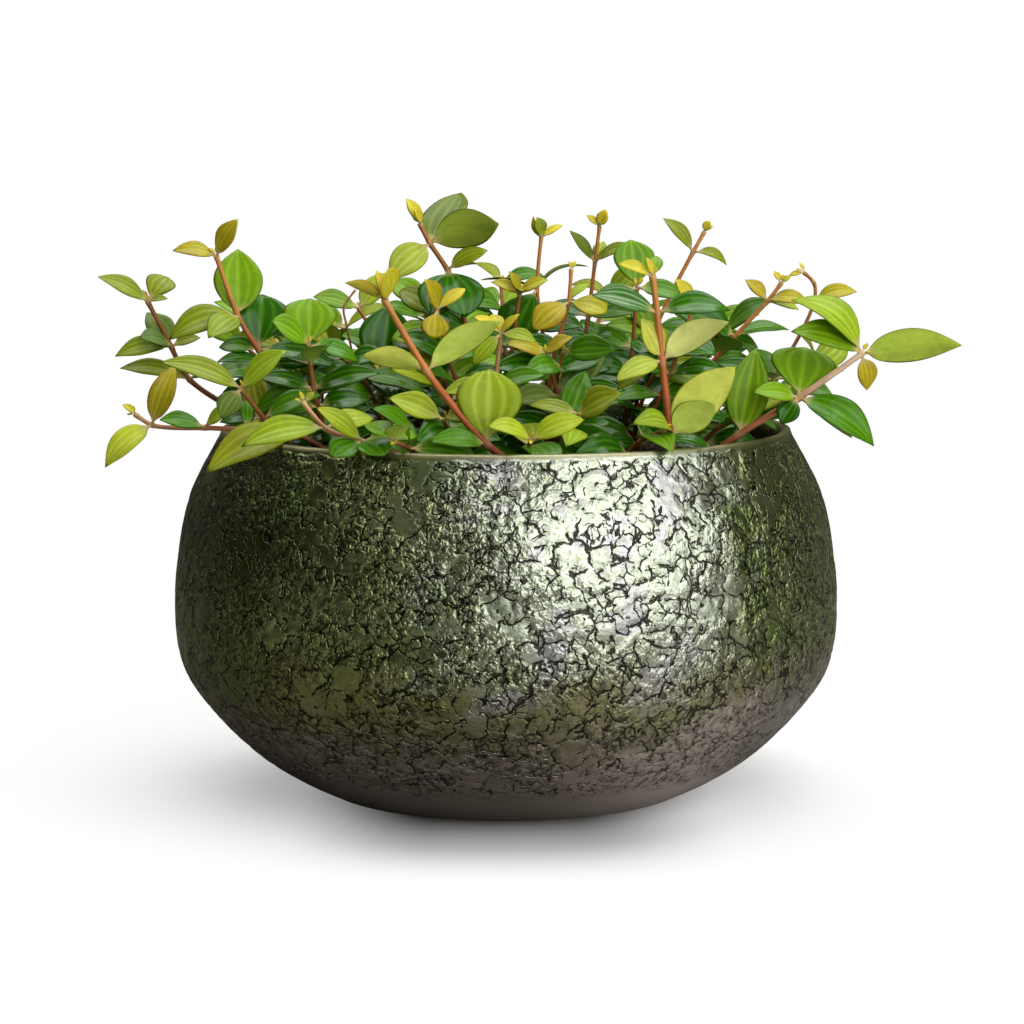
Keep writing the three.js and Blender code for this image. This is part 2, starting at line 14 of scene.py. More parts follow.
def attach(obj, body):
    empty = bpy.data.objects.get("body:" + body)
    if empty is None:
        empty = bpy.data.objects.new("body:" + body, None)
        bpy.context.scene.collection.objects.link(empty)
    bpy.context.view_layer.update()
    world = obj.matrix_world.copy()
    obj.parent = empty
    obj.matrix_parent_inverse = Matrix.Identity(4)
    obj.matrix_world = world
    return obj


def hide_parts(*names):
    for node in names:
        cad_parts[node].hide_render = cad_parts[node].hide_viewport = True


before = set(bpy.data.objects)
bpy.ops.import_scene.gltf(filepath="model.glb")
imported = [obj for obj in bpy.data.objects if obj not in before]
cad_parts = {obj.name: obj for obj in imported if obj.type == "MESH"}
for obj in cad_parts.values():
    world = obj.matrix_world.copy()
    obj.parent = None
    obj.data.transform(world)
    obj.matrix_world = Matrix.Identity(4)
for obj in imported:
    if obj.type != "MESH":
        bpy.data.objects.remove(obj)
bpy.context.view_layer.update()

MM = 0.001
scene = bpy.context.scene


def new_object(name, data):
    made = bpy.data.objects.new(name, data)
    scene.collection.objects.link(made)
    return made


# Camera
# The photograph was taken with a long lens from a little above the rim, square on to the bowl.
# The aim point is the height of the bowl and plant that lies in the middle of the picture.
CAMERA_DISTANCE = 1500 * MM
CAMERA_TILT = radians(7.0)
CAMERA_ASIDE = 2.7 * MM
AIM_HEIGHT = 124.6 * MM
PIXELS_PER_METRE = 2210
PICTURE_WIDTH = 1024
SENSOR_WIDTH = 36
FARTHEST_SEEN = 50

lens = bpy.data.cameras.new("camera")
lens.sensor_width = SENSOR_WIDTH
lens.lens = SENSOR_WIDTH * PIXELS_PER_METRE * CAMERA_DISTANCE / PICTURE_WIDTH
lens.clip_end = FARTHEST_SEEN
camera = new_object("camera", lens)
back_off = CAMERA_DISTANCE * cos(CAMERA_TILT)
raised = CAMERA_DISTANCE * sin(CAMERA_TILT)
camera.location = (CAMERA_ASIDE, -back_off, AIM_HEIGHT + raised)
camera.rotation_euler = (pi / 2 - CAMERA_TILT, 0, 0)
scene.camera = camera
scene.view_settings.view_transform = "Standard"


# Studio
# A white sweep under four soft lights: a wide one at the right front, which the glaze mirrors, one above
# that throws the soft shadow, and weaker ones at the back and the left. The room is dim and slightly
# yellow, and what the glaze mirrors of the sweep depends on the side on which it lies: it is painted
# light and shade, darker at the left and lighter near the pot at the right front.
class Wire:
    """One output socket of a node tree, with Python's operators as Math nodes."""

    def __init__(self, tree, socket=None):
        self.tree = tree
        self.socket = socket

    def node(self, kind, inputs=None, output=0, **settings):
        """Adds a node: its settings first, then the values or links of its sockets."""
        made = self.tree.nodes.new(kind)
        for name, value in settings.items():
            setattr(made, name, value)
        for name, value in (inputs or {}).items():
            if isinstance(value, Wire):
                self.tree.links.new(value.socket, made.inputs[name])
            else:
                made.inputs[name].default_value = value
        return Wire(self.tree, made.outputs[output]) if len(made.outputs) else None

    def maths(self, operation, *others):
        return self.node("ShaderNodeMath", dict(enumerate((self, *others))), operation=operation)

    def vector(self, operation, other):
        return self.node("ShaderNodeVectorMath", {0: self, 1: other}, operation=operation)

    def axis(self, number):
        return self.node("ShaderNodeSeparateXYZ", {0: self}, number)

    def step(self, low, high):
        """0 below low, 1 above high and smooth between them."""
        inputs = {"Value": self, "From Min": low, "From Max": high}
        return self.node("ShaderNodeMapRange", inputs, interpolation_type="SMOOTHSTEP")

    def within(self, rise, fall):
        """1 between the end of the rise and the start of the fall."""
        return self.step(*rise) * (1 - self.step(*fall))

    def mixed(self, first, second):
        """Colour first where this is 0, second where it is 1."""
        return self.node("ShaderNodeMix", {0: self, 6: first, 7: second}, 2, data_type="RGBA")

    def __rsub__(self, other):
        return self.node("ShaderNodeMath", {0: other, 1: self}, operation="SUBTRACT")

    __add__ = __radd__ = partialmethod(maths, "ADD")
    __mul__ = partialmethod(maths, "MULTIPLY")
    __sub__ = partialmethod(maths, "SUBTRACT")


def cleared(block):
    """Gives a material or world an empty node tree."""
    block.use_nodes = True
    block.node_tree.nodes.clear()
    return block, Wire(block.node_tree)


def finish_material(start, inputs):
    """Ends a material in one Principled shader."""
    shader = start.node("ShaderNodeBsdfPrincipled", inputs)
    start.node("ShaderNodeOutputMaterial", {"Surface": shader})


FLOOR_RADIUS = 30
FLOOR_SIDES = 96
FADE_TO_WHITE = (-0.12, 0.4)
SHADE_AHEAD = (0.07, 0.22)
SHADE_ASIDE = (0.03, 0.1)
SHADE_REACH = (0.13, 0.22)
FOOT_SHADE = 0.35
SWEEP_WHITE = (0.95, 0.95, 0.95, 1)
BLACK = (0, 0, 0, 1)
WHITE = (1, 1, 1, 1)

# What the glaze mirrors of the sweep: where its parts begin and end, and the colour of each. These
# colours are painted shade and light: darker where shade falls at the left, lighter near the pot at the
# right front where the lamps light it.
TO_RIGHT = (0.0, 0.1)
NEAR_POT = (0.15, 0.4)
TO_FRONT = (0.1, 0.7)
MIRRORED_SHADE_LEFT = (0.15, 0.15, 0.13, 1)
MIRRORED_RIGHT = (0.3, 0.3, 0.28, 1)
MIRRORED_FRONT = (0.38, 0.37, 0.33, 1)
MIRRORED_LIGHT_NEAR = (0.95, 0.92, 0.88, 1)

floor_data = bpy.data.meshes.new("floor")
turns = [tau * i / FLOOR_SIDES for i in range(FLOOR_SIDES)]
floor_edge = [(FLOOR_RADIUS * cos(turn), FLOOR_RADIUS * sin(turn), 0) for turn in turns]
floor_data.from_pydata(floor_edge, [], [tuple(range(FLOOR_SIDES))])
floor = new_object("floor", floor_data)

floor_material, start = cleared(bpy.data.materials.new("white_sweep"))
place = start.node("ShaderNodeTexCoord", output="Object")
reach = place.node("ShaderNodeVectorMath", {0: place}, 1, operation="LENGTH")
ahead = place.axis(1) * -1
foot_shade = (1 - ahead.step(*SHADE_AHEAD)) * (1 - place.axis(0).maths("ABSOLUTE").step(*SHADE_ASIDE))
foot_shade = foot_shade * (1 - reach.step(*SHADE_REACH)) * FOOT_SHADE
faded = reach.step(*FADE_TO_WHITE)
seen = start.node("ShaderNodeLightPath")
to_right = place.axis(0).step(*TO_RIGHT)
# Painted light and shade: rays other than the camera's see a darker copy of the sweep, darkest at the
# left and brightest near the pot at the right front.
mirrored_ahead = (to_right * (1 - reach.step(*NEAR_POT))).mixed(MIRRORED_FRONT, MIRRORED_LIGHT_NEAR)
mirrored_beside = to_right.mixed(MIRRORED_SHADE_LEFT, MIRRORED_RIGHT)
mirrored_light_and_shade = ahead.maths("DIVIDE", reach).step(*TO_FRONT).mixed(mirrored_beside, mirrored_ahead)
finish_material(
    start,
    {
        "Base Color": seen.mixed(mirrored_light_and_shade, (faded + foot_shade).mixed(SWEEP_WHITE, BLACK)),
        "Roughness": 0.9,
        "Specular IOR Level": 0.1,
        "Emission Color": ((faded - foot_shade) * seen).mixed(BLACK, WHITE),
        "Emission Strength": 1.0,
    },
)
floor_data.materials.append(floor_material)

ROOM_FRONT = 0.03
ROOM_BACK = 0.14
ROOM_TURN = (-0.1, 0.7)
SKY_LIGHT = 0.25
SKY_HEIGHTS = (0.62, 0.98)
ROOM_TINT = (1, 0.97, 0.7, 1)
BACKDROP = 1.02

world, start = cleared(bpy.data.worlds.new("studio"))
scene.world = world
direction = start.node("ShaderNodeTexCoord", output="Generated")
room = direction.axis(1).step(*ROOM_TURN) * (ROOM_BACK - ROOM_FRONT) + ROOM_FRONT
room = room + direction.axis(2).step(*SKY_HEIGHTS) * SKY_LIGHT
seen = start.node("ShaderNodeLightPath")
strength = room + seen * (BACKDROP - room)
tone = seen.mixed(ROOM_TINT, WHITE)
background = start.node("ShaderNodeBackground", {"Color": tone, "Strength": strength})
start.node("ShaderNodeOutputWorld", {"Surface": background})


def soft_light(name, place, target_height, size, watts):
    data = bpy.data.lights.new(name, "AREA")
    data.shape = "RECTANGLE"
    data.size, data.size_y = size
    data.energy = watts
    light = new_object(name, data)
    light.location = place
    aim = Vector((0, 0, target_height)) - Vector(place)
    light.rotation_euler = aim.to_track_quat("-Z", "Y").to_euler()
    light.visible_camera = False


soft_light("tall_softbox", (1.35, -1.67, 1.2), 0.12, (3.0, 2.5), 72)
soft_light("top_softbox", (0.35, 0.25, 1.4), 0.1, (1.1, 1.1), 13)
soft_light("back_softbox", (-0.5, 0.4, 1.3), 0.1, (0.9, 0.9), 7)
soft_light("left_fill", (-1.5, -1.6, 1.3), 0.2, (1.3, 0.9), 1.8)

# Planter bowl
# One piece of thrown stoneware with a smooth foot and a thin rim. The belly between them is pressed into
# plates, grooves and crinkles, calmest at the right front. The metallic glaze is dark green, silver to
# the right front, olive lower down, pewter at the foot and pale gold on the rim, with painted shade in
# its grooves and hollows and at the upper left.
OUTSIDE = [(82, 0), (98, 8), (116, 20), (133, 37), (146, 56), (150, 78)]
OUTSIDE += [(148.8, 104), (142.8, 134), (129, 161)]
BELLY_RADIUS = 150
BELLY_SHRINK = 0.3
LIP = [(127.8, 163.3), (126, 164), (123.6, 162.8)]
WALL = 6
INSIDE_HEIGHTS = (13, 158)
INSIDE_CORNER = 10
INSIDE_FLAT = 50
FLOOR_THICK = 9
UNDERSIDE_FLAT = 60
BOWL_COLUMNS = 640
BOWL_ROWS = 132
INSIDE_ROWS = 14
CURVE_STEPS = 400


def spline(points, t):
    """A point on a smooth curve through the points, for t from 0 to 1."""
    spans = len(points) - 1
    at = min(int(t * spans), spans - 1)
    f = t * spans - at
    p = [np.array(points[min(max(at + k, 0), spans)], float) for k in (-1, 0, 1, 2)]
    slope_in, slope_out = (p[2] - p[0]) / 2, (p[3] - p[1]) / 2
    keep = 2 * f**3 - 3 * f**2 + 1
    bend = (f**3 - 2 * f**2 + f) * slope_in
    return keep * p[1] + bend + (1 - keep) * p[2] + (f**3 - f**2) * slope_out


def lengths_along(points):
    """How far along a line each of its points lies."""
    return np.concatenate([[0], np.cumsum(np.linalg.norm(np.diff(points, axis=0), axis=1))])


def even(points, count):
    """The same line with count points at equal distances."""
    points = np.array(points)
    run = lengths_along(points)
    at = np.linspace(0, run[-1], count)
    return np.stack([np.interp(at, run, points[:, k]) for k in (0, 1)], axis=1)


def turned(name, profile, columns):
    """A closed solid turned about Z from a profile that starts and ends on the axis."""
    profile = np.array(profile)
    angles = 2 * np.pi * np.arange(columns) / columns
    ring = np.stack([np.cos(angles), np.sin(angles)], axis=1)
    body = profile[1:-1]
    rings = [np.concatenate([r * ring, np.full((columns, 1), z)], axis=1) for r, z in body]
    ends = [[[0, 0, profile[0][1]]], [[0, 0, profile[-1][1]]]]
    first, last = len(body) * columns, len(body) * columns + 1
    top = (len(body) - 1) * columns
    faces = []
    for i in range(columns):
        j = (i + 1) % columns
        faces.append((first, j, i))
        faces.append((last, top + i, top + j))
        for row in range(len(body) - 1):
            low, high = row * columns, (row + 1) * columns
            faces.append((low + i, low + j, high + j, high + i))
    data = bpy.data.meshes.new(name)
    data.from_pydata((np.concatenate(rings + ends) * MM).tolist(), [], faces)
    data.shade_smooth()
    return data


wall = [spline(OUTSIDE, t) for t in np.linspace(0, 1, CURVE_STEPS)]
wall = [(min(r, BELLY_RADIUS) - BELLY_SHRINK, z) for r, z in wall]
lowest, highest = INSIDE_HEIGHTS
inside = [(r - WALL, z) for r, z in even(wall, INSIDE_ROWS)[::-1] if lowest < z < highest]
profile = [(0, 0), (UNDERSIDE_FLAT, 0), *even(wall, BOWL_ROWS), *LIP, *inside]
profile += [(r, FLOOR_THICK) for r in (inside[-1][0] - INSIDE_CORNER, INSIDE_FLAT, 0)]
bowl_data = turned("bowl", profile, BOWL_COLUMNS)
bowl = new_object("bowl", bowl_data)

# Of the plates, and of the small chips: size, width of the grooves between them, and the shift, the
# size and the share left out of the patches in which they show.
PLATES = (13.0, 0.9, (0, 0, 0), 9.0, 0.44)
CHIPS = (5.5, 0.6, (70, 20, 10), 10.0, 0.53)
WORM_SIZE = 7.0
WORM_WIDTH = (0.004, 0.018)
WORM_PATCHES = ((10, 50, 90), 8.0, 0.53)
FOOT_BAND = (13.0, 21.0)
RIM_BAND = (160.2, 161.8)
RAGGED_SIZE = 1 / 0.11
SWELL_SIZE = 6.25


def in_millimetres(place):
    return place.vector("MULTIPLY", (1 / MM, 1 / MM, 1 / MM))


def noise(place, size, detail=2.0, output=0, roughness=0.6):
    """A noise whose lumps are about size millimetres apart. Output 1 is its colour."""
    inputs = {"Vector": place, "Scale": 1 / size, "Detail": detail, "Roughness": roughness}
    return place.node("ShaderNodeTexNoise", inputs, output)


def wander(place, size, reach):
    """Moves each place by up to half of reach, so that straight lines bend."""
    swing = noise(place, size, output=1).vector("SUBTRACT", (0.5, 0.5, 0.5))
    return place.vector("ADD", swing.vector("MULTIPLY", (reach, reach, reach)))


def patches(place, shift, size, share):
    return noise(place.vector("ADD", shift), size).step(share, share + 0.04)


def crackle(place, blur):
    """How deep the clay is pressed: 0 on a plate and 1 in a groove, whose sides blur makes softer."""
    bent = wander(wander(place, 12.0, 9.0), 3.0, 2.6)

    def grooves(size, width, *where):
        inputs = {"Vector": bent, "Scale": 1 / size, "Randomness": 1.0}
        away = place.node("ShaderNodeTexVoronoi", inputs, feature="DISTANCE_TO_EDGE")
        return (1 - (away * size).step(width * 0.1, width * 0.7 + blur)) * patches(place, *where)

    line = noise(wander(place, 3.5, 3.0), WORM_SIZE, 1.0) - 0.5
    worms = 1 - line.maths("ABSOLUTE").step(WORM_WIDTH[0], WORM_WIDTH[1] + 0.03 * blur)
    worms = worms * patches(place, *WORM_PATCHES)
    return grooves(*PLATES).maths("MAXIMUM", grooves(*CHIPS)).maths("MAXIMUM", worms)


def bands(place):
    """The amount of relief, 0 on the foot band and the rim, then the height and a ragged noise."""
    height = place.axis(2)
    ragged = noise(place, RAGGED_SIZE, 3.0, roughness=0.5) - 0.5
    foot = (height + ragged * 14).step(*FOOT_BAND)
    rim = (height + ragged * 4).step(*RIM_BAND)
    return foot * (1 - rim), height, ragged


def new_group(name, *sizes):
    """A geometry tree, with its incoming geometry and these sizes as wires."""
    tree = bpy.data.node_groups.new(name, "GeometryNodeTree")
    for way in ("INPUT", "OUTPUT"):
        tree.interface.new_socket("Geometry", in_out=way, socket_type="NodeSocketGeometry")
    for size in sizes:
        tree.interface.new_socket(size, in_out="INPUT", socket_type="NodeSocketFloat")
    given = Wire(tree).node("NodeGroupInput")
    return tree, given, *(Wire(tree, given.socket.node.outputs[size]) for size in sizes)


def grown(obj, tree, **sizes):
    """Runs a geometry tree on an object and keeps the result as its plain mesh."""
    modifier = obj.modifiers.new("nodes", "NODES")
    modifier.node_group = tree
    for item in tree.interface.items_tree:
        if item.in_out == "INPUT" and item.name in sizes:
            modifier[item.identifier] = sizes[item.name]
    bpy.context.view_layer.update()
    graph = bpy.context.evaluated_depsgraph_get()
    data = bpy.data.meshes.new_from_object(obj.evaluated_get(graph))
    obj.modifiers.clear()
    obj.data = data
    return data


GROOVE_DEPTH = 0.45
SWELL_HEIGHT = 0.4
GROOVE_BLUR = 0.9

tree, clay, groove, swell = new_group("pressed_crackle", "Groove", "Swell")
place = in_millimetres(clay.node("GeometryNodeInputPosition"))
amount, _, _ = bands(place)
lumps = noise(place, SWELL_SIZE, roughness=0.5)
outside_only = clay.node("GeometryNodeInputNamedAttribute", {"Name": "outer"}, data_type="FLOAT")
sink = (crackle(place, GROOVE_BLUR) * groove + lumps * swell) * amount * outside_only * -1
normal = clay.node("GeometryNodeInputNormal")
offset = normal.node("ShaderNodeVectorMath", {0: normal, "Scale": sink}, operation="SCALE")
pressed = clay.node("GeometryNodeSetPosition", {"Geometry": clay, "Offset": offset})
clay.node("NodeGroupOutput", {0: pressed})

is_outer = np.zeros(len(bowl_data.vertices), np.float32)
is_outer[BOWL_COLUMNS : BOWL_COLUMNS * (BOWL_ROWS + 1)] = 1
bowl_data.attributes.new("outer", "FLOAT", "POINT").data.foreach_set("value", is_outer)
bowl_data = grown(bowl, tree, Groove=GROOVE_DEPTH * MM, Swell=SWELL_HEIGHT * MM)
bowl_data.shade_smooth()


def paint(code):
    """A colour written as a six-digit web code, as the linear values that a shader takes."""
    parts = [int(code[i : i + 2], 16) / 255 for i in (0, 2, 4)]
    return (*[c / 12.92 if c <= 0.04045 else ((c + 0.055) / 1.055) ** 2.4 for c in parts], 1.0)


SILVER = paint("b1b7a8")
LAVENDER = paint("a6a5a8")
MOSS = paint("81895c")
LEAF_GREEN = paint("687846")
OLIVE = paint("77753e")
UMBER = paint("5d5643")
PEWTER = paint("968c85")
# The near-black of the cracks and specks, and also of the painted shade in the hollows, the grooves and
# at the upper left.
SOOT_AND_SHADE = paint("151410")
RIM_GOLD = paint("98926e")

# Where the glaze and its relief change: millimetres across, from left to right, and heights.
CALM_ACROSS = ((-5, 35), (70, 105))
CALM_HEIGHTS = (70, 100)
# Where painted shade darkens the upper left of the belly:
PAINTED_SHADE_ACROSS = (-120, -55)
PAINTED_SHADE_HEIGHTS = (85, 125)
SILVER_ACROSS = ((-65, 25), (75, 108))
OLIVE_HEIGHTS = (52, 92)
PEWTER_HEIGHTS = (24, 58)
PEWTER_ACROSS = (50, 120)
GOLD_HEIGHTS = (161.6, 163.2)

glaze, start = cleared(bpy.data.materials.new("green_pewter_glaze"))
place = in_millimetres(start.node("ShaderNodeTexCoord", output="Object"))
amount, height, ragged = bands(place)
cut = crackle(place, 0.0) * amount
grain = noise(place, 0.7)
mottle = noise(place, 20.0, 3.0)
drift = noise(place.vector("ADD", (40, 0, 0)), 55.0)
across = place.axis(0) + (mottle - 0.5) * 90 + (drift - 0.5) * 60
calm = across.within(*CALM_ACROSS) * height.step(*CALM_HEIGHTS)
rumpled = noise(place.vector("ADD", (0, 60, 0)), 22.0).step(0.38, 0.54) * (1 - calm * 0.85)
bent = wander(place, 3.4, 2.8)
crinkle = 1 - (noise(bent, 3.6, 1.0) - 0.5).maths("ABSOLUTE").step(0.0, 0.10)
wrinkle = noise(bent, 2.8, 1.0)

plate = drift.step(0.46, 0.58).mixed(MOSS, LEAF_GREEN)
silver = mottle.step(0.5, 0.62).mixed(SILVER, LAVENDER)
plate = across.within(*SILVER_ACROSS).mixed(plate, silver)
plate = (noise(place, 1.4).step(0.48, 0.66) * 0.6).mixed(plate, MOSS)
olive = 1 - (height + (mottle - 0.5) * 60 + (drift - 0.5) * 40).step(*OLIVE_HEIGHTS)
plate = (olive * 0.85).mixed(plate, grain.step(0.4, 0.6).mixed(OLIVE, UMBER))
pewter = 1 - (height + ragged * 50 - across.step(*PEWTER_ACROSS) * 22).step(*PEWTER_HEIGHTS)
plate = pewter.mixed(plate, PEWTER)
plate = (grain.step(0.5, 0.8) * 0.25).mixed(plate, SOOT_AND_SHADE)
# Painted shade: the hollows between the wrinkles are darkened, most where the belly is rumpled.
shaded_hollow = (1 - wrinkle.step(0.36, 0.52)) * amount
plate = (shaded_hollow * (rumpled * 0.6 + 0.15)).mixed(plate, SOOT_AND_SHADE)
# Painted shade: the upper left of the belly is darkened, where the leaves shade it.
painted_shade_upper_left = (1 - across.step(*PAINTED_SHADE_ACROSS)) * height.step(*PAINTED_SHADE_HEIGHTS)
plate = (painted_shade_upper_left * 0.5).mixed(plate, SOOT_AND_SHADE)
gold = (height + ragged * 2).step(*GOLD_HEIGHTS)
# The cracks are darkened: partly their own dark lines and partly painted shade in the grooves.
colour = (gold * 0.8).mixed((cut.step(0.35, 0.8) * 0.92).mixed(plate, SOOT_AND_SHADE), RIM_GOLD)

fine = crinkle * rumpled * 0.35 + wrinkle * (rumpled * 2.3 + 0.3)
relief = (noise(place, 7.0, 1.0) * 0.4 + fine) * amount - cut + grain * 0.02
bump = start.node("ShaderNodeBump", {"Strength": 0.9, "Distance": 0.72 * MM, "Height": relief})
roughness = 0.29 + grain * 0.1 + gold * 0.08
finish_material(start, {"Base Color": colour, "Metallic": 1.0, "Roughness": roughness, "Normal": bump})
bowl_data.materials.clear()
bowl_data.materials.append(glaze)
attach(bowl, "root")
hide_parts("planter_bowl")

# Potting mix
# Dark crumbly mix of peat, fine bark and a little white perlite, slightly heaped and filled to below
# the rim. Only its top can be seen, so the piece is a thick disc of it with loose crumbs on top.
MIX_RADIUS = 129.5
MIX_EDGE = 146.5
MIX_CROWN = 149.5
MIX_DEPTH = 16
MIX_TAPER = 4
MIX_COLUMNS = 180
MIX_ROWS = 30
CRUMB_DENSITY = 52000
CRUMB = (0.7, 2.1)
PERLITE_SHARE = 0.05
LUMP_SIZE = 9.0
LUMP_HEIGHT = 4
HIGHEST_LUMP = 0.7
POINT_SEED, SIZE_SEED, TURN_SEED, WHITE_SEED = 4, 5, 6, 8
FULL_TURNS = (6.28, 6.28, 6.28)

mix_profile = [(0, MIX_EDGE - MIX_DEPTH), (MIX_RADIUS - MIX_TAPER, MIX_EDGE - MIX_DEPTH)]
for k in range(MIX_ROWS):
    t = k / MIX_ROWS
    heaped = MIX_EDGE + (MIX_CROWN - MIX_EDGE) * sin(t * pi / 2)
    mix_profile.append((MIX_RADIUS * (1 - t), heaped))
mix_profile.append((0, MIX_CROWN))
mix = new_object("mix", turned("mix", mix_profile, MIX_COLUMNS))

mix_material, start = cleared(bpy.data.materials.new("potting_mix"))
place = in_millimetres(start.node("ShaderNodeTexCoord", output="Object"))
white = start.node("ShaderNodeAttribute", None, 2, attribute_name="white")
grit = noise(place, 2.2, 4.0)
colour = grit.step(0.35, 0.7).mixed(paint("1d140d"), paint("4a3423"))
colour = white.step(0.5, 0.6).mixed(colour, paint("c9c4b6"))
bump = start.node("ShaderNodeBump", {"Strength": 0.8, "Distance": 0.6 * MM, "Height": grit})
finish_material(start, {"Base Color": colour, "Roughness": 0.95, "Normal": bump})

tree, disc, density, smallest, largest = new_group("crumbs", "Density", "Smallest", "Largest")
position = disc.node("GeometryNodeInputPosition")
is_top = position.axis(2).maths("GREATER_THAN", (MIX_EDGE - 0.5) * MM)
lumps = (noise(in_millimetres(position), LUMP_SIZE) - HIGHEST_LUMP) * is_top * LUMP_HEIGHT * MM
lifted = disc.node("ShaderNodeCombineXYZ", {2: lumps})
rough = disc.node("GeometryNodeSetPosition", {"Geometry": disc, "Offset": lifted})
scattered = {"Mesh": rough, "Selection": is_top, "Density": density, "Seed": POINT_SEED}
points = disc.node("GeometryNodeDistributePointsOnFaces", scattered)
chance = disc.node("FunctionNodeRandomValue", {"Seed": WHITE_SEED}, 1, data_type="FLOAT")
marked = {"Geometry": points, "Name": "white", "Value": chance.maths("LESS_THAN", PERLITE_SHARE)}
points = disc.node("GeometryNodeStoreNamedAttribute", marked, data_type="FLOAT", domain="POINT")
range_of = {2: smallest, 3: largest, "Seed": SIZE_SEED}
size = disc.node("FunctionNodeRandomValue", range_of, 1, data_type="FLOAT")
range_of = {1: FULL_TURNS, "Seed": TURN_SEED}
turn = disc.node("FunctionNodeRandomValue", range_of, data_type="FLOAT_VECTOR")
crumb = disc.node("GeometryNodeMeshIcoSphere", {"Radius": 0.5, "Subdivisions": 1})
strewn = {"Points": points, "Instance": crumb, "Rotation": turn, "Scale": size}
crumbs = disc.node("GeometryNodeInstanceOnPoints", strewn)
crumbs = disc.node("GeometryNodeRealizeInstances", {"Geometry": crumbs})
joined = disc.node("GeometryNodeJoinGeometry")
for part in (crumbs, rough):
    tree.links.new(part.socket, joined.socket.node.inputs[0])
dressed = disc.node("GeometryNodeSetMaterial", {"Geometry": joined, "Material": mix_material})
disc.node("NodeGroupOutput", {0: dressed})
grown(mix, tree, Density=CRUMB_DENSITY, Smallest=CRUMB[0] * MM, Largest=CRUMB[1] * MM)
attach(mix, "root")
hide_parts("potting_mix")

# Stems
# Each stem grows as one piece with its leaves. It is four-edged, red to brown, a little swollen at
# its joints, and roots in the mix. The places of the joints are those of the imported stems.
BURIED = 12
CORNER_REACH = 0.45
FLAT_REACH = 0.38
STEM_SIDES = 12
RINGS_PER_SPAN = 9
KNOT = (1.25, 1.7)
LEAF_WIDTH = 0.5
ARCH = 0.12

# Each stem has a name, a thickness and a bark. Each row is one joint: its place, then its leaves. A leaf
# is how far its tip lies across, back and up, its width as a share of its length, its arch, its roll in
# degrees and its look. What is left out is LEAF_WIDTH, ARCH or the roll that faces the light.
SHOOTS = {}
SHOOTS["long_front_stem", 3.8, "red"] = [
    [(8, -102, 151)],
    [(-8, -106, 166), (1, 10, 31, 0.86, 0.1, "lime"), (-24, -10, 2, 0.46, "green")],
    [(-33, -107, 197), (-27, -8, 7, 0.42, 0.1, 50, "lime"), (31, -6, 21, 0.4, 0.08, -50, "lime")],
    [(-50, -106, 226), (-17, -3, 8, 0.36, 0.16, 50, "gold"), (1, -11, 14, 0.85, 0.05, "gold"),
     (-4, 3, 13, 0.36, "gold")],
]
SHOOTS["right_front_stem", 3.8, "red"] = [
    [(72, -88, 151)],
    [(70, -90, 168), (-25, -9, -7, 0.56, 0.24, "lime"), (27, -5, 30, 0.52, 0.06, -62, "lime"),
     (18, -12, 15, 0.62, 0.08, -50, "lime")],
    [(66, -91, 200), (-20, -9, -8, 0.46, "pale"), (28, -6, 17, 0.48, 0.12, -50, "pale"),
     (-9, 2, 18, 0.62, "pale"), (-19, 4, -13, 0.4, "olive")],
    [(64, -91, 220), (-28, -5, 8, 0.46, 0.1, "silver"), (31, 3, 1, 0.46, 0.16, "dark")],
    [(62, -91, 235), (-15, -3, 6, 0.46, 0.14, "gold"), (2, 9, 9, "fresh"), (-3, -2, 9, 0.4, "gold")],
]
SHOOTS["reaching_right_stem", 3.6, "blush"] = [
    [(86, -56, 151)],
    [(101, -62, 166), (7, 4, 37, 0.5, 0.05, "fresh")],
    [(126, -66, 182), (4, 15, 21, 1.1, 0.04, "fresh"), (-20, -6, 3, 0.55, 0.1, "fresh"),
     (32, -9, -20, 0.48, 0.15, "green"), (-9, -8, -9, 0.7, "dark"), (24, 6, -18, 0.42, "green")],
    [(153, -64, 201), (43, -4, 4, 0.42, 0.05, -58, "fresh"), (-31, -6, 10, 0.5, 0.14, "fresh"),
     (-33, 8, 18, 0.55, 0.22, -25, "lime"), (3, 3, -16, 0.62, "bronze")],
]
SHOOTS["far_left_low_stem", 2.8, "pink"] = [
    [(-70, -58, 151)],
    [(-92, -70, 167.5), (-33, -24, -21, 0.42, 0.15, "olive"), (10, 18, 6, "green")],
    [(-112, -72, 169), (9, 10, 13, "green")],
    [(-130, -63, 169), (-19, -7, 4, 0.5, 0.1, "green"), (14, -5, 9, "lime")],
    [(-154, -52, 169), (-20, -6, -18, 0.46, 0.18, "yellow"), (10, 5, 26, 0.4, 0.2, 60, "bronze")],
    [(-161, -49, 173), (-6, -2, 5, "gold")],
]
SHOOTS["far_left_stem", 3, "brown"] = [
    [(-98, 8, 151)],
    [(-124, 6, 171)],
    [(-143, 6, 184), (-32, 2, 5, 0.34, "olive"), (17, -7, 6, "dark")],
    [(-151, 5, 199), (-25, -5, -4, 0.46, 0.14, "lime"), (-13, -13, 5, 0.66, "grey"),
     (-12, 10, 15, 0.6, "grey"), (13, 3, 4, "olive")],
    [(-161, 4, 219), (-22, -6, 12, 0.42, 0.1, "olive"), (8, 10, 11, 0.85, "olive"), (-6, 7, 9, "bronze"),
     (10, -3, 2, 0.4, "olive")],
]
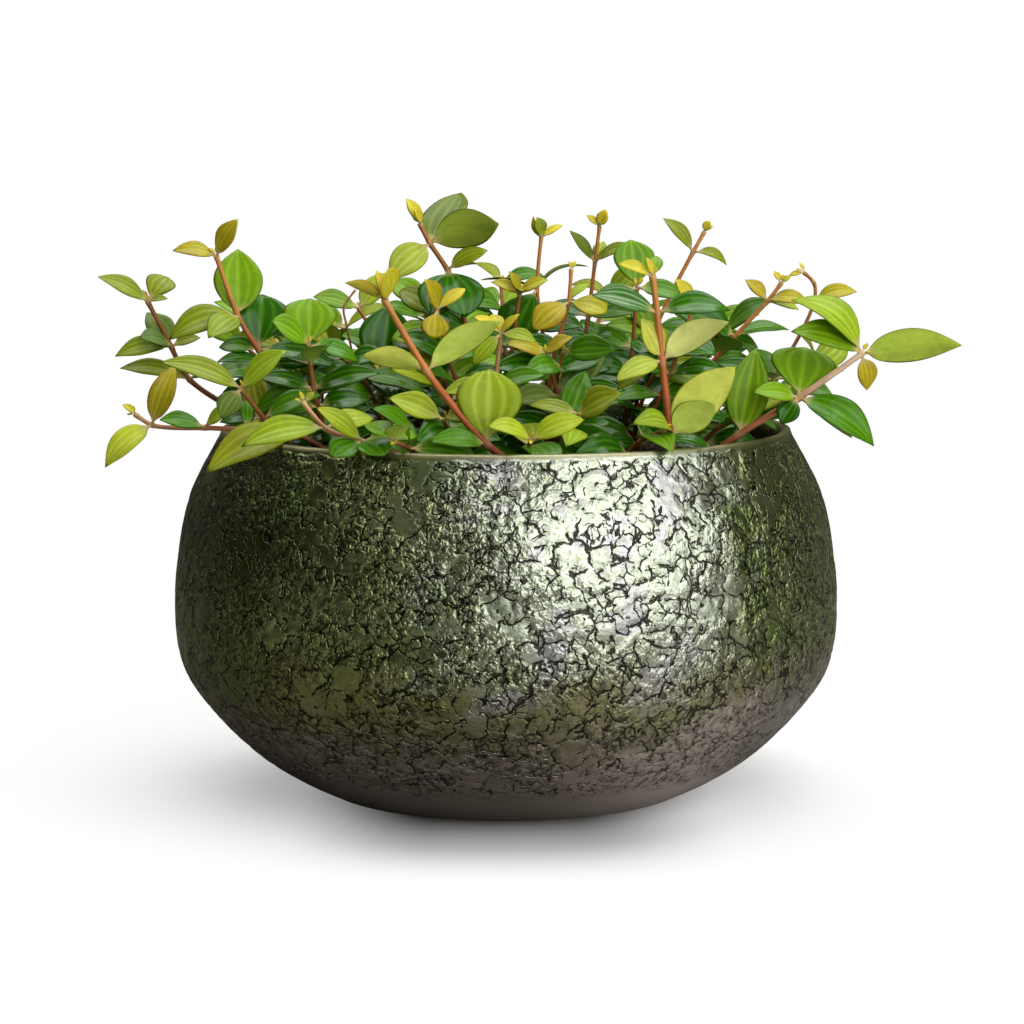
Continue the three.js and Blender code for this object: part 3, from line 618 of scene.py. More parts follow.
SHOOTS["tall_left_stem", 3, "red"] = [
    [(-80, -24, 151)],
    [(-92, -27, 172), (-24, 8, 5, "green"), (12, -20, 6, "dark")],
    [(-109, -29, 200), (1, 13, 24, 0.9, 0.06, "dark"), (-18, 4, 1, 0.6, "green"),
     (35, -4, -2, 0.42, 0.1, "dark")],
    [(-118, -30, 215), (-1, 16, 29, 0.66, 0.04, "fresh"), (-30, -8, -10, 0.5, 0.18, "olive"),
     (-14, -18, -14, 0.5, 0.1, "olive")],
    [(-127, -30, 241), (-19, -5, 3, 0.5, 0.14, "bronze"), (10, -4, 17, 0.5, 0.1, "bronze")],
]
SHOOTS["left_front_stem", 2.8, "brown"] = [
    [(-90, -46, 151)],
    [(-104, -66, 173), (25, -7, 11, 0.46, "green"), (-20, 6, -2, "dark")],
    [(-113, -78, 187), (-34, -7, 12, 0.36, "olive"), (20, -6, 17, 0.5, 0.08, "lime"),
     (-8, -7, -12, 0.7, "grey")],
]
SHOOTS["left_inner_stem", 2.8, "brown"] = [
    [(-76, -48, 151)],
    [(-83, -60, 185), (-28, -9, -11, 0.46, "green"), (-25, 4, 5, 0.42, "dark"),
     (28, -7, 12, 0.42, 0.1, "dark"), (7, 20, 3, "dark")],
    [(-85, -62, 204), (0, 14, 20, 0.95, 0.04, "fresh"), (-15, -10, 12, 0.74, 0.08, "fresh"),
     (22, 4, -4, 0.5, 0.16, "green")],
]
SHOOTS["rim_stem", 3, "pink"] = [
    [(-34, -98, 151)],
    [(-47, -103, 162)],
    [(-60, -104, 167), (10, -17, -4, 0.85, 0.1, "green"), (-19, -7, 15, 0.46, 0.06, "lime"),
     (-11, -16, -1, 0.75, 0.1, "green"), (24, 6, 5, 0.42, "fresh")],
    [(-76, -98, 172), (-35, -8, -7, 0.42, 0.14, "lime"), (20, 14, 3, 0.5, 0.1, "lime")],
    [(-85, -94, 182), (4, 3, 5, "olive")],
]
SHOOTS["tall_middle_stem", 3, "brown"] = [
    [(-6, -8, 151)],
    [(-17, -6, 205), (6, -18, -20, 0.75, 0.14, "dark"), (-22, 6, 6, "dark")],
    [(-26, -5, 234), (8, -16, -20, 0.85, "dark"), (-13, -11, -17, 0.8, "silver"), (18, 1, 9, "olive")],
    [(-34, -5, 246), (31, -8, 9, 0.62, 0.1, -60, "moss"), (-18, -7, -16, 0.66, 0.08, "pale"),
     (18, 22, 22, 0.6, 0.04, 0, "moss")],
    [(-38, -5, 254), (-3, -4, 8, 0.6, "gold"), (-5, 2, 13, 0.45, "gold")],
]
SHOOTS["bronze_tipped_stem", 2.6, "brown"] = [
    [(-12, -44, 151)],
    [(-24, -50, 196), (-26, -6, 6, 0.66, "dark"), (14, 16, 6, "green")],
    [(-30, -53, 219), (-5, -8, 14, 0.66, "bronze"), (-1, -9, -12, 0.85, 0.1, "bronze"),
     (12, 4, 13, 0.36, "gold")],
]
SHOOTS["yellow_star_stem", 2.6, "pink"] = [
    [(-8, -66, 151)],
    [(-5, -71, 186), (-22, -8, -1, "lime"), (22, -9, 7, "green"), (4, 20, 4, "dark")],
    [(-2, -73, 210), (-12, -4, -13, "lime"), (15, -8, -3, "lime"), (-4, 11, 8, "gold"),
     (8, -3, 9, 0.36, "gold"), (-13, 1, 6, 0.46, "gold")],
]
SHOOTS["middle_stem", 2.8, "brown"] = [
    [(27, -58, 151)],
    [(23, -55, 182), (18, 4, 29, 0.42, 0.06, "grey"), (-20, -8, -2, 0.66, 0.1, "grey"),
     (4, -18, -11, 0.6, "green"), (30, -3, 3, 0.38, "dark")],
    [(17, -55, 200), (-17, -8, 5, 0.6, "bronze"), (12, -6, 8, 0.6, 0.1, "bronze")],
]
SHOOTS["upright_stem", 2.4, "red"] = [
    [(20, 16, 151)],
    [(18, 22, 196), (24, 6, 4, "dark"), (-22, 8, 2, "dark")],
    [(14, 24, 224), (-26, 3, 4, 0.34, 0.08, 5, "moss"), (24, 4, 10, 0.36, 0.18, 0, "moss"),
     (-11, -8, -22, 0.85, 0.1, "dark")],
    [(16, 25, 247), (-2, -3, 10, 0.66, "olive"), (9, -2, 12, 0.42, "gold"), (10, 3, 6, 0.36, "gold")],
]
SHOOTS["amber_stem", 2.4, "red"] = [
    [(17, -16, 151)],
    [(22, -13, 199), (18, -14, 1, "dark"), (-20, -10, 3, "dark")],
    [(28, -11, 220), (-16, -9, -12, 0.66, 0.1, "bronze"), (17, -8, -4, 0.78, 0.1, "bronze"),
     (9, 5, 8, "lime")],
    [(29, -10, 234), (2, 2, 4, "gold")],
]
SHOOTS["upright_back_stem", 2.4, "red"] = [
    [(30, 40, 151)],
    [(38, 44, 210), (22, -8, 2, "green"), (-20, 12, 4, "dark")],
    [(41, 45, 235), (-12, -2, 15, 0.36, 0.06, "moss"), (20, -3, 7, 0.36, 0.2, "olive"),
     (2, 6, 12, "lime")],
    [(43, 45, 251), (-6, 0, 6, "gold"), (3, -2, 9, 0.6, "gold")],
]
SHOOTS["right_back_stem", 2.6, "red"] = [
    [(58, 46, 151)],
    [(68, 57, 200), (24, 4, 4, "green"), (-22, -8, 6, "fresh"), (-18, 6, 20, "fresh")],
    [(87, 60, 239), (-14, 2, 16, 0.4, 0.14, "olive"), (16, 2, -6, 0.42, 0.24, "olive")],
    [(92, 61, 248), (3, -1, 6, 0.66, "gold")],
]
SHOOTS["right_bronze_stem", 2.6, "red"] = [
    [(74, -4, 151)],
    [(90, 6, 188), (26, -4, -2, 0.46, "green"), (-16, -14, 5, "olive"), (22, 12, 4, "green")],
    [(118, 10, 219), (-10, 2, 10, 0.56, "bronze"), (19, -4, -1, 0.5, 0.2, "bronze"),
     (15, 6, -4, 0.46, "pale")],
    [(124, 10, 227), (-3, 1, 6, "gold"), (5, 0, 4, "gold")],
]
SHOOTS["curled_right_stem", 2.2, "brown"] = [
    [(94, -30, 151)],
    [(118, -24, 186), (32, 4, 4, 0.45, 0.16, "fresh"), (-26, 0, 8, 0.42, 0.1, "dark"),
     (4, -18, 3, 0.6, "dark")],
    [(137, -14, 220), (19, -2, 5, 0.5, 0.18, "bronze")],
    [(137, -12, 229)],
    [(133, -12, 233), (-7, 0, -1, "gold")],
]
SHOOTS["small_yellow_stem", 2.4, "brown"] = [
    [(56, -36, 151)],
    [(72, -38, 190), (22, -12, 3, "dark"), (-16, 14, 7, "green"), (-20, -10, 5, "dark")],
    [(82, -36, 219), (-8, -2, 13, 0.55, 0.1, "gold")],
]
SHOOTS["shaded_left_stem", 2.6, "brown"] = [
    [(-54, -8, 151)],
    [(-54, -12, 168), (30, 2, 6, 0.5, 0.1, "dark"), (-28, -10, 2, 0.5, 0.1, "dark")],
    [(-56, -14, 188), (4, 10, 30, 0.75, 0.05, "dark"), (-30, -6, 3, 0.5, 0.1, "dark"),
     (7, -22, -10, 0.6, 0.1, "dark")],
]
SHOOTS["broad_back_stem", 2.6, "brown"] = [
    [(54, 24, 151)],
    [(58, 30, 196), (24, -8, 4, 0.5, 0.1, "green"), (-22, 12, 4, 0.5, 0.1, "green")],
    [(60, 31, 224), (-3, 7, 22, 0.85, 0.04, "fresh"), (-22, -10, -10, "green"), (24, 2, -6, "green")],
]
SHOOTS["bronze_cluster_stem", 2.4, "brown"] = [
    [(0, 10, 151)],
    [(3, 12, 198), (22, -10, 2, 0.5, 0.1, "dark"), (-20, 12, 6, 0.5, 0.1, "dark")],
    [(6, 12, 222), (-13, -2, 6, 0.5, 0.15, "bronze"), (13, -1, 7, 0.5, 0.15, "bronze"),
     (-5, -4, 11, "bronze"), (1, -11, 4, "bronze")],
]

# The rest of the mat is drawn by rule, zone by zone. Each row is one stem: degrees round the bowl,
# distance from the middle, height and pairs of leaves.
MAT_ZONES = {
    "front": [
        (214, 92, 20, 3), (236, 98, 18, 3), (252, 76, 24, 3), (277, 82, 17, 3), (284, 70, 26, 3),
        (303, 92, 20, 3), (338, 92, 22, 3),
    ],
    "inner": [
        (200, 58, 50, 3), (246, 44, 50, 3), (300, 44, 50, 3), (340, 60, 50, 3), (190, 20, 62, 4),
    ],
    "side": [(2, 104, 38, 3), (18, 80, 52, 4), (182, 78, 48, 3)],
    "back": [
        (36, 98, 50, 4), (62, 76, 66, 4), (66, 106, 50, 4), (88, 60, 72, 4), (92, 98, 58, 4),
        (116, 84, 60, 4), (122, 108, 48, 4), (142, 66, 62, 4), (148, 100, 50, 4), (170, 96, 48, 3),
    ],
}
MAT = {
    "thickness": 2.4, "tries": 10, "shift": (-5, 5), "lean": (4, 14), "lean_by_distance": 0.2,
    "drift": (-9, 9), "easing": 0.3, "sun_out": 0.3, "first_turn": (20, 160), "next_turn": (72, 108),
    "grown": (29, 33.9), "young": (19, 25), "pitch": (-0.25, 0.35), "outward": 0.3, "young_lift": 0.4,
    "width": (0.42, 0.6), "arch": (0.08, 0.2), "roll": (-20, 20),
}
TIP_LOOKS = ["lime", "fresh", "fresh", "olive", "green"]
UPPER_LOOKS = ["green", "fresh", "green", "lime", "dark"]
LOWER_LOOKS = ["dark", "dark", "green"]
LOOK_SEED = 11
ROOT_HEIGHT = 151
UP = Vector((0, 0, 1))
LIGHT = Vector((0.15, -0.85, 1))

DICE_STEP = 16807
DICE_PRIME = 2147483647


def dice(seed):
    """Whole-number draws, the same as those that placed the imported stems."""
    state = seed * 7919 + 17

    def draw(pair):
        nonlocal state
        state = state * DICE_STEP % DICE_PRIME
        return pair[0] + (pair[1] - pair[0]) * state / DICE_PRIME

    for _ in range(4):
        draw((0, 1))
    return draw


def roll_to(line, sun):
    """The roll in degrees that turns the face of a leaf on this line to the sun."""
    along = line.normalized()
    level = (UP - along * along.z).normalized()
    lit = (sun - along * sun.dot(along)).normalized()
    return degrees(atan2(along.dot(level.cross(lit)), level.dot(lit)))


taste = random.Random(LOOK_SEED)


def drawn_shoot(row, number, attempt):
    """The joints of a mat stem, with grown leaves that are dark and fresher ones nearer the light."""
    bearing, distance, height, pairs = row
    draw = dice(100 * number + attempt)
    around = radians(bearing + draw(MAT["shift"]) * attempt)
    out = Vector((cos(around), sin(around), 0))
    aside = Vector((-out.y, out.x, 0))
    sun = LIGHT + out * MAT["sun_out"]
    root = out * distance + UP * ROOT_HEIGHT
    lean = MAT["lean_by_distance"] * distance + draw(MAT["lean"])
    drift = draw(MAT["drift"])
    joints = [[tuple(root)]]
    turn = draw(MAT["first_turn"])
    for i in range(1, pairs + 1):
        t = i / pairs
        rise = height * t * (1 + MAT["easing"] * (1 - t))
        joint = [tuple(root + out * lean * t * t + aside * drift * t + UP * rise)]
        length = draw(MAT["grown"] if i < pairs else MAT["young"])
        looks = {pairs: TIP_LOOKS, pairs - 1: UPPER_LOOKS}.get(i, LOWER_LOOKS)
        for half in (0, 180):
            way = around + radians(turn + half)
            line = Vector((cos(way), sin(way), draw(MAT["pitch"])))
            line = (line + out * MAT["outward"]).normalized() * length
            if i == pairs:
                line.z += MAT["young_lift"] * length
            roll = roll_to(line, sun) + draw(MAT["roll"])
            joint.append((*line, draw(MAT["width"]), draw(MAT["arch"]), roll, taste.choice(looks)))
        turn += draw(MAT["next_turn"])
        joints.append(joint)
    return joints


# Leaves
# The blades are thick and smooth, folded along the midrib, with pale stripes from the base to the tip.
# They are dark and glossy above and pale and matte below, the youngest are bronze to yellow, and each
# stands on a short stalk from a cream-coloured collar.
KEEL = 0.22
BLADE_THICK = 0.8
LARGE_FROM = 34
SMALL_FROM = 12
LARGE = [(0.26, 0.38), (0.55, 0.5), (0.82, 0.31)]
SMALL = [(0.3, 0.42), (0.7, 0.4)]
BUD = [(0.5, 0.46)]
CORNER_NEAR = 0.03
FEWEST_MET = 0.4

# Ways in which a packed leaf was bent clear of the rest: lift, swing and roll in degrees, and length.
BENDS = [
    (0, 0, 0, 1), (8, 0, 0, 1), (-8, 0, 0, 1), (0, 10, 0, 1), (0, -10, 0, 1), (0, 0, 25, 1),
    (0, 0, -25, 1), (14, 12, 0, 1), (14, -12, 0, 1), (-14, 12, 0, 0.95), (-14, -12, 0, 0.95),
    (24, 0, 0, 0.95), (-22, 0, 0, 0.9), (0, 26, 15, 0.9), (0, -26, -15, 0.9), (30, 24, 0, 0.9),
    (30, -24, 0, 0.9), (42, 0, 0, 0.85), (10, 45, 0, 0.8), (10, -45, 0, 0.8), (58, 20, 0, 0.75),
    (58, -20, 0, 0.75),
]
UNBENT = BENDS[0]

# Upper face, veins, underside and gloss of each look.
LOOKS = {
    "dark": ("2a6600 5c9a1c 8cac46", 1.0),
    "green": ("4a8600 74aa1c a8c64c", 0.75),
    "grey": ("6f8c38 8caa4c 90aa58", 0.4),
    # The silver look's near-white stripes are partly painted sheen, for leaves that shine white under
    # the lights.
    "silver": ("46842a c8dcae a8c46c", 0.95),
    "fresh": ("72a400 9cc428 b4d24c", 0.5),
    "lime": ("9cb616 c0d24c cbdc62", 0.35),
    # The pale look is partly the leaves' own light green and partly painted sheen.
    "pale": ("b8c640 d6de80 d6e084", 0.35),
    "olive": ("8a9a14 b2c03c b4be44", 0.5),
    "moss": ("5f7a0c 8ca42c 9aac3c", 0.6),
    "bronze": ("a89a14 c4c83a c0b232", 0.55),
    "gold": ("cabc22 e2dc60 d4c848", 0.35),
    "yellow": ("c0ca30 e0e06c dade60", 0.35),
}
EDGED_LOOKS = ("bronze", "gold")
YOUNG_LOOKS = (*EDGED_LOOKS, "yellow")

# Each bark at the foot, halfway and at the tip. The brown bark is partly painted shade, a darker copy of
# the red one for stems that stand in shade; on the dry twig it is the twig's own brown.
BARKS = {
    "red": "6e3420 b66438 c88a48",
    "pink": "84503a bc7a5a cc9c70",
    "blush": "7a3c28 b47452 e6ccb0",
    "brown": "4c2a18 824828 a87040",
}


def paints(codes):
    return [np.array(paint(code)) for code in codes.split()]


COLLAR, LEAF_EDGE = paints("c2ad74 a0641c")
VEIN_AT = 0.46
LEAF_COLUMNS = (-1, -0.88, -0.68, -VEIN_AT, -0.22, 0, 0.22, VEIN_AT, 0.68, 0.88, 1)
SMALL_COLUMNS = (-1, -0.75, -VEIN_AT, 0, VEIN_AT, 0.75, 1)
LEAF_ROWS = 17
SMALL_ROWS = 11
SMALL_BELOW = 16
STALK = 0.06
STALK_HALF = (0.7, 0.09)
LEAF_THICK = 0.55
WIDEST_AT = (0.40, 0.48)
BROAD_FROM = 0.62
TWIST = 14
WAVE = 0.05
WAVES = 1.6
CURL = (-0.02, 0.05)
SUNK_VEIN = -0.14
RAISED_BLADE = 0.07
TONES = (0.62, 0.86)
UNDER_TONE = 0.22
# Painted light: the young bronze, gold and yellow leaves get lighter upper faces, so that those facing
# away from the lamps still look bright.
YOUNG_PAINTED_LIGHT = 0.2
WARMTH = (0.9, 1.14)


def leaf_frame(leaf, bend):
    """The leaf's line, its upper face's direction and its side, once bent, and its three sizes."""
    across, back, up, width, arch, roll, _ = leaf
    lift, swing, extra_roll, share = bend
    line = Vector((across, back, up))
    if roll is None:
        roll = roll_to(line, LIGHT)
    length = line.length * share
    line.normalize()
    face = UP - line * UP.dot(line)
    if face.length_squared < 1e-3:
        face = Vector((0, -1, 0)) + line * line.y
    face.normalize()
    lifted = Matrix.Rotation(radians(lift), 3, line.cross(face))
    turned_by = Matrix.Rotation(radians(swing), 3, UP) @ lifted
    line = turned_by @ line
    face = Matrix.Rotation(radians(roll + extra_roll), 3, line) @ (turned_by @ face)
    return line, face, line.cross(face), length, width * length, arch


def packed_corners(base, shape):
    """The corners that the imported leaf's solid has, in millimetres."""
    line, face, side, length, width, arch = shape
    kind = LARGE if length >= LARGE_FROM else SMALL if length >= SMALL_FROM else BUD
    corners = [base + line * length]
    for t, share in kind:
        spine = base + line * (t * length) + face * (4 * arch * length * t * (1 - t))
        for sign in (1, -1):
            edge = spine + side * (sign * share * width) + face * (KEEL * share * width)
            corners += [edge + face * (BLADE_THICK / 2), edge - face * (BLADE_THICK / 2)]
    return corners


def found_bend(base, leaf, tree):
    """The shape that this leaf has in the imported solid, or None if it was left out there."""
    best, found = 0, None
    for bend in BENDS:
        shape = leaf_frame(leaf, bend)
        corners = packed_corners(base, shape)
        met = sum(tree.find(corner * MM)[2] < CORNER_NEAR * MM for corner in corners)
        met /= len(corners)
        if met > best + 0.01:
            best, found = met, shape
    return found if best > FEWEST_MET else None


class Mesh:
    """Collects the vertices, faces and vertex values of one leafy stem."""

    def __init__(self):
        self.verts, self.faces = [], []
        self.values = {}
        self.count = 0

    def add(self, points, faces, **values):
        self.verts.append(points)
        self.faces += [tuple(self.count + k for k in face) for face in faces]
        for name, value in values.items():
            self.values.setdefault(name, []).append(value)
        self.count += len(points)

    def object(self, name):
        data = bpy.data.meshes.new(name)
        data.from_pydata((np.concatenate(self.verts) * MM).tolist(), [], self.faces)
        for key, parts in self.values.items():
            joined = np.concatenate(parts).astype(np.float32)
            kind, field = ("FLOAT_COLOR", "color") if joined.ndim == 2 else ("FLOAT", "value")
            data.attributes.new(key, kind, "POINT").data.foreach_set(field, joined.ravel())
        data.shade_smooth()
        data.materials.append(foliage)
        return new_object(name, data)


def outline(t, widest, blunt):
    """Half the width of a blade, as a share of its greatest, at t along it from stalk to tip."""
    power = log(0.5) / log(widest)
    u = np.clip(t, 0, 1)
    return np.sin(np.pi * u**power) ** (0.58 + (0.34 - 0.2 * blunt) * u)


def blade_faces(rows, wide):
    """The faces of a closed blade: its upper points row by row, its inner lower ones, and its tip."""
    upper_count = (rows - 1) * wide
    last = upper_count + (rows - 1) * (wide - 2)

    def upper(i, j):
        return i * wide + j if i < rows - 1 else last

    def lower(i, j):
        if i == rows - 1 or j in (0, wide - 1):
            return upper(i, j)
        return upper_count + i * (wide - 2) + j - 1

    faces = []
    for i in range(rows - 1):
        for j in range(wide - 1):
            above = [upper(i, j), upper(i, j + 1), upper(i + 1, j + 1), upper(i + 1, j)]
            below = [lower(i, j), lower(i + 1, j), lower(i + 1, j + 1), lower(i, j + 1)]
            faces += [tuple(dict.fromkeys(above)), tuple(dict.fromkeys(below))]
    foot = [lower(0, j) for j in range(wide)]
    foot += [upper(0, j) for j in range(wide - 2, 0, -1)]
    return [*faces, tuple(foot)]


def add_leaf(mesh, base, shape, look, thickness, draw):
    """A rounded blade on its stalk. t runs from the stalk to the tip and v from edge to edge."""
    line, face, side, length, width, arch = shape
    codes, shine = LOOKS[look]
    upper, vein, under = paints(codes)
    small = length < SMALL_BELOW
    columns = np.array(SMALL_COLUMNS if small else LEAF_COLUMNS, float)
    start_at = 0.2 * thickness / length
    run = np.linspace(0, 1, SMALL_ROWS if small else LEAF_ROWS)
    t = start_at + (1 - start_at) * (0.75 * run + 0.25 * run**2)
    blunt = np.clip((width / length - BROAD_FROM) / 0.2, 0, 1)
    widest = draw.uniform(*WIDEST_AT) + 0.14 * blunt
    stalk = STALK + (1.2 + 0.3 * thickness) / length
    u = (t - stalk * 0.75) / (1 - stalk * 0.75)
    stalk_half = min(STALK_HALF[0], STALK_HALF[1] * width)
    half = np.maximum(outline(u, widest, blunt) * width / 2, stalk_half * (t < 0.5))
    half[-1] = 0
    stalky = np.clip(1 - (t - stalk * 0.6) / (stalk * 0.8), 0, 1)
    thick = LEAF_THICK * (1 - stalky) + 1.5 * stalky * stalk_half
    thick[-1] = 0
    twist = radians(draw.uniform(-TWIST, TWIST))
    wave = draw.uniform(0.0, WAVE)
    phase = draw.uniform(0, tau)
    curl = draw.uniform(*CURL) * length
    v = columns[None, :]
    away = np.abs(v)
    turn = (twist * (t - 0.5) * (1 - stalky))[:, None]
    ripple = wave * np.sin(tau * WAVES * t + phase)[:, None]
    fold = KEEL * away**1.5 - 0.10 * away**6 + ripple * away**3 * np.sign(v)
    out = half[:, None] * (v * np.cos(turn) - fold * np.sin(turn))
    lift = half[:, None] * (v * np.sin(turn) + fold * np.cos(turn))
    on_vein = (away < 0.02) | (np.abs(away - VEIN_AT) < 0.02)
    relief = np.clip(half, 0, 3)[:, None] / 3 * (1 - stalky)[:, None]
    lift = lift + np.where(on_vein, SUNK_VEIN, RAISED_BLADE) * relief
    rise = 4 * arch * length * t * (1 - t)
    rise = rise - curl * np.clip(t - 0.6, 0, 1) ** 2 * 2.5 + curl * 0.4 * t**2
    lens = thick[:, None] / 2 * np.sqrt(np.clip(1 - v**4, 0, 1))
    spine = np.array(base) + t[:, None, None] * length * np.array(line)
    flat = spine + out[..., None] * np.array(side)
    heights = [rise[:, None] + lift + sign * lens for sign in (1, -1)]
    top, low = (flat + height[..., None] * np.array(face) for height in heights)
    rows, wide = len(t), len(columns)
    tip = top[-1, wide // 2][None]
    top, low = top[:-1].reshape(-1, 3), low[:-1, 1:-1].reshape(-1, 3)
    points = np.concatenate([top, low, tip])

    is_under = np.concatenate([np.zeros(len(top)), np.ones(len(low)), [0]])
    across = np.concatenate([np.tile(row, rows - 1) for row in (columns, columns[1:-1])] + [[0]])
    at_stalk = np.concatenate([np.repeat(stalky[:-1], n) for n in (wide, wide - 2)] + [[0]])
    below = is_under[:, None] > 0
    # Undersides are paler, and the upper faces of the young leaves get painted light.
    tone = draw.uniform(*TONES) + np.where(below, UNDER_TONE, YOUNG_PAINTED_LIGHT * (look in YOUNG_LOOKS))
    warm = draw.uniform(*WARMTH)
    tint = np.where(below, under, upper)
    tint = tint * np.concatenate([tone * warm, tone, tone, np.ones_like(tone)], axis=1)
    if look in EDGED_LOOKS:
        edge = np.clip((np.abs(across) - 0.6) / 0.4, 0, 1)[:, None] * 0.3
        tint = tint * (1 - edge) + LEAF_EDGE * edge
    mesh.add(
        points,
        blade_faces(rows, wide),
        tint=tint * (1 - at_stalk[:, None]) + COLLAR * at_stalk[:, None],
        stripe=np.tile(vein, (len(points), 1)),
        veins=(1 - 0.5 * is_under) * (1 - at_stalk),
        gloss=shine * (1 - 0.6 * is_under) * (1 - 0.5 * at_stalk),
        across=across,
    )


def through(points, steps):
    """A smooth line through the points, with the same number of steps from each to the next."""
    points = [np.array(p, float) for p in points]
    ends = [2 * points[0] - points[1], *points, 2 * points[-1] - points[-2]]
    line = []
    for k in range(len(points) - 1):
        p = ends[k : k + 4]
        knots = [0.0]
        for a, b in zip(p, p[1:]):
            knots.append(knots[-1] + max(np.linalg.norm(b - a), 1e-3) ** 0.5)
        for i in range(steps):
            t = knots[1] + (knots[2] - knots[1]) * i / steps
            row = p
            for level in (1, 2, 3):
                row = [
                    (row[j] * (knots[j + level] - t) + row[j + 1] * (t - knots[j]))
                    / (knots[j + level] - knots[j])
                    for j in range(len(row) - 1)
                ]
            line.append(row[0])
    return np.array([*line, points[-1]])


def bumps(run, centres, width):
    """1 at each centre along the stem, and fading to 0 within about twice the width."""
    return np.exp(-(((run[:, None] - centres) / width) ** 2)).max(axis=1)


STEM_TIP = 0.45
STEM_TAPER = 0.26
STEM_GLOSS = 0.45
COLLAR_AT = (0.6, 0.7)
COLLAR_SHARE = 0.6


def add_stem(mesh, joints, thickness, bark):
    """A four-edged tube from below the mix to a blunt tip just past the last joint."""
    low, halfway, high = paints(BARKS[bark])
    places = [np.array(at, float) for at, *_ in joints]
    foot = places[0] - [0, 0, BURIED]
    onward = (places[-1] - places[-2]) / np.linalg.norm(places[-1] - places[-2])
    line = through([foot, *places, places[-1] + onward * STEM_TIP * thickness], RINGS_PER_SPAN)
    run = lengths_along(line)
    share = np.clip((run - BURIED) / (run[-1] - BURIED), 0, 1)
    knots = np.array([run[RINGS_PER_SPAN * (k + 1)] for k in range(1, len(places))])
    swollen = 1 + (KNOT[0] - 1) * bumps(run, knots, KNOT[1])
    size = thickness * (1.02 - STEM_TAPER * share) * swollen
    size[-1] *= 0.35
    way = np.gradient(line, axis=0)
    way /= np.linalg.norm(way, axis=1)[:, None]
    first = np.cross(way, [0.0, 1.0, 0.0])
    first /= np.linalg.norm(first, axis=1)[:, None]
    second = np.cross(way, first)
    angles = 2 * np.pi * np.arange(STEM_SIDES) / STEM_SIDES
    mean, swing = (CORNER_REACH + FLAT_REACH) / 2, (CORNER_REACH - FLAT_REACH) / 2
    reach = mean + swing * np.cos(4 * angles)
    ring = np.cos(angles)[:, None] * first[:, None] + np.sin(angles)[:, None] * second[:, None]
    points = line[:, None] + ring * reach[:, None] * size[:, None, None]
    rows = len(line)
    faces = []
    for here in range(0, (rows - 1) * STEM_SIDES, STEM_SIDES):
        onto = here + STEM_SIDES
        for j in range(STEM_SIDES):
            k = (j + 1) % STEM_SIDES
            faces.append((here + j, here + k, onto + k, onto + j))
    faces.append(tuple(range(STEM_SIDES))[::-1])
    faces.append(tuple(range(onto, onto + STEM_SIDES)))
    s = share[:, None] * 2
    colour = np.where(s < 1, low + (halfway - low) * s, halfway + (high - halfway) * (s - 1))
    ringed = bumps(run, knots + COLLAR_AT[0], COLLAR_AT[1])[:, None] * COLLAR_SHARE
    colour = np.repeat(colour * (1 - ringed) + COLLAR * ringed, STEM_SIDES, axis=0)
    mesh.add(
        points.reshape(-1, 3),
        faces,
        tint=colour,
        stripe=colour,
        veins=np.zeros(len(colour)),
        gloss=np.full(len(colour), STEM_GLOSS),
        across=np.tile(np.cos(2 * angles), rows),
    )
    return line


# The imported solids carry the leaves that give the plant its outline. The older leaves low down in
# the mat, and the sprouts at the tips of the stems, are added here.
FILL_SPACING = 7.5
FILL_MOST = 4
FILL_RADIUS = 112
FILL_FRONT = -62
FILL_HEIGHTS = (155, 206)
FILL_LENGTHS = (20, 30)
FILL_WIDTHS = (0.42, 0.6)
FILL_LIFTS = (-0.1, 0.45)
FILL_TURNS = (70, 110)
FILL_ROLLS = (-18, 18)
RIM_CLEARANCE = (112, 172)
SPROUT_LENGTH = 4.6
SPROUT_WIDTH = 0.36
SPROUT_SPREAD = 0.45
SPROUT_SIZES = (0.8, 1.2)


def fill_in(mesh, joints, line, thickness, draw):
    """Pairs of older leaves between the joints, where they stay clear of the rim and the front."""
    turn = draw.uniform(0, 180)
    for k in range(len(joints) - 1):
        span = (Vector(joints[k + 1][0]) - Vector(joints[k][0])).length
        count = min(int(span / FILL_SPACING), FILL_MOST)
        for j in range(1, count):
            base = Vector(line[RINGS_PER_SPAN * (k + 1) + round(RINGS_PER_SPAN * j / count)])
            turn += draw.uniform(*FILL_TURNS)
            too_far = base.xy.length > FILL_RADIUS or base.y < FILL_FRONT
            if too_far or not FILL_HEIGHTS[0] < base.z < FILL_HEIGHTS[1]:
                continue
            for half in (0, 180):
                way = radians(turn + half)
                tip = Vector((cos(way), sin(way), draw.uniform(*FILL_LIFTS)))
                tip *= draw.uniform(*FILL_LENGTHS)
                end = base + tip
                if end.xy.length > RIM_CLEARANCE[0] and end.z < RIM_CLEARANCE[1]:
                    continue
                roll = roll_to(tip, LIGHT) + draw.uniform(*FILL_ROLLS)
                leaf = (*tip, draw.uniform(*FILL_WIDTHS), ARCH, roll, "")
                look = draw.choice(LOWER_LOOKS)
                add_leaf(mesh, base, leaf_frame(leaf, UNBENT), look, thickness, draw)


def add_sprout(mesh, joints, thickness, draw):
    """A pair of tiny leaves at the tip of a stem."""
    last, before = Vector(joints[-1][0]), Vector(joints[-2][0])
    onward = (last - before).normalized()
    aside = onward.cross(Vector((sin(draw.uniform(0, 6)), -1, 0.2))).normalized()
    for sign in (1, -1):
        tip = (onward + aside * SPROUT_SPREAD * sign) * SPROUT_LENGTH * draw.uniform(*SPROUT_SIZES)
        leaf = (*tip, SPROUT_WIDTH, ARCH, None, "")
        add_leaf(mesh, last, leaf_frame(leaf, UNBENT), "gold", thickness, draw)


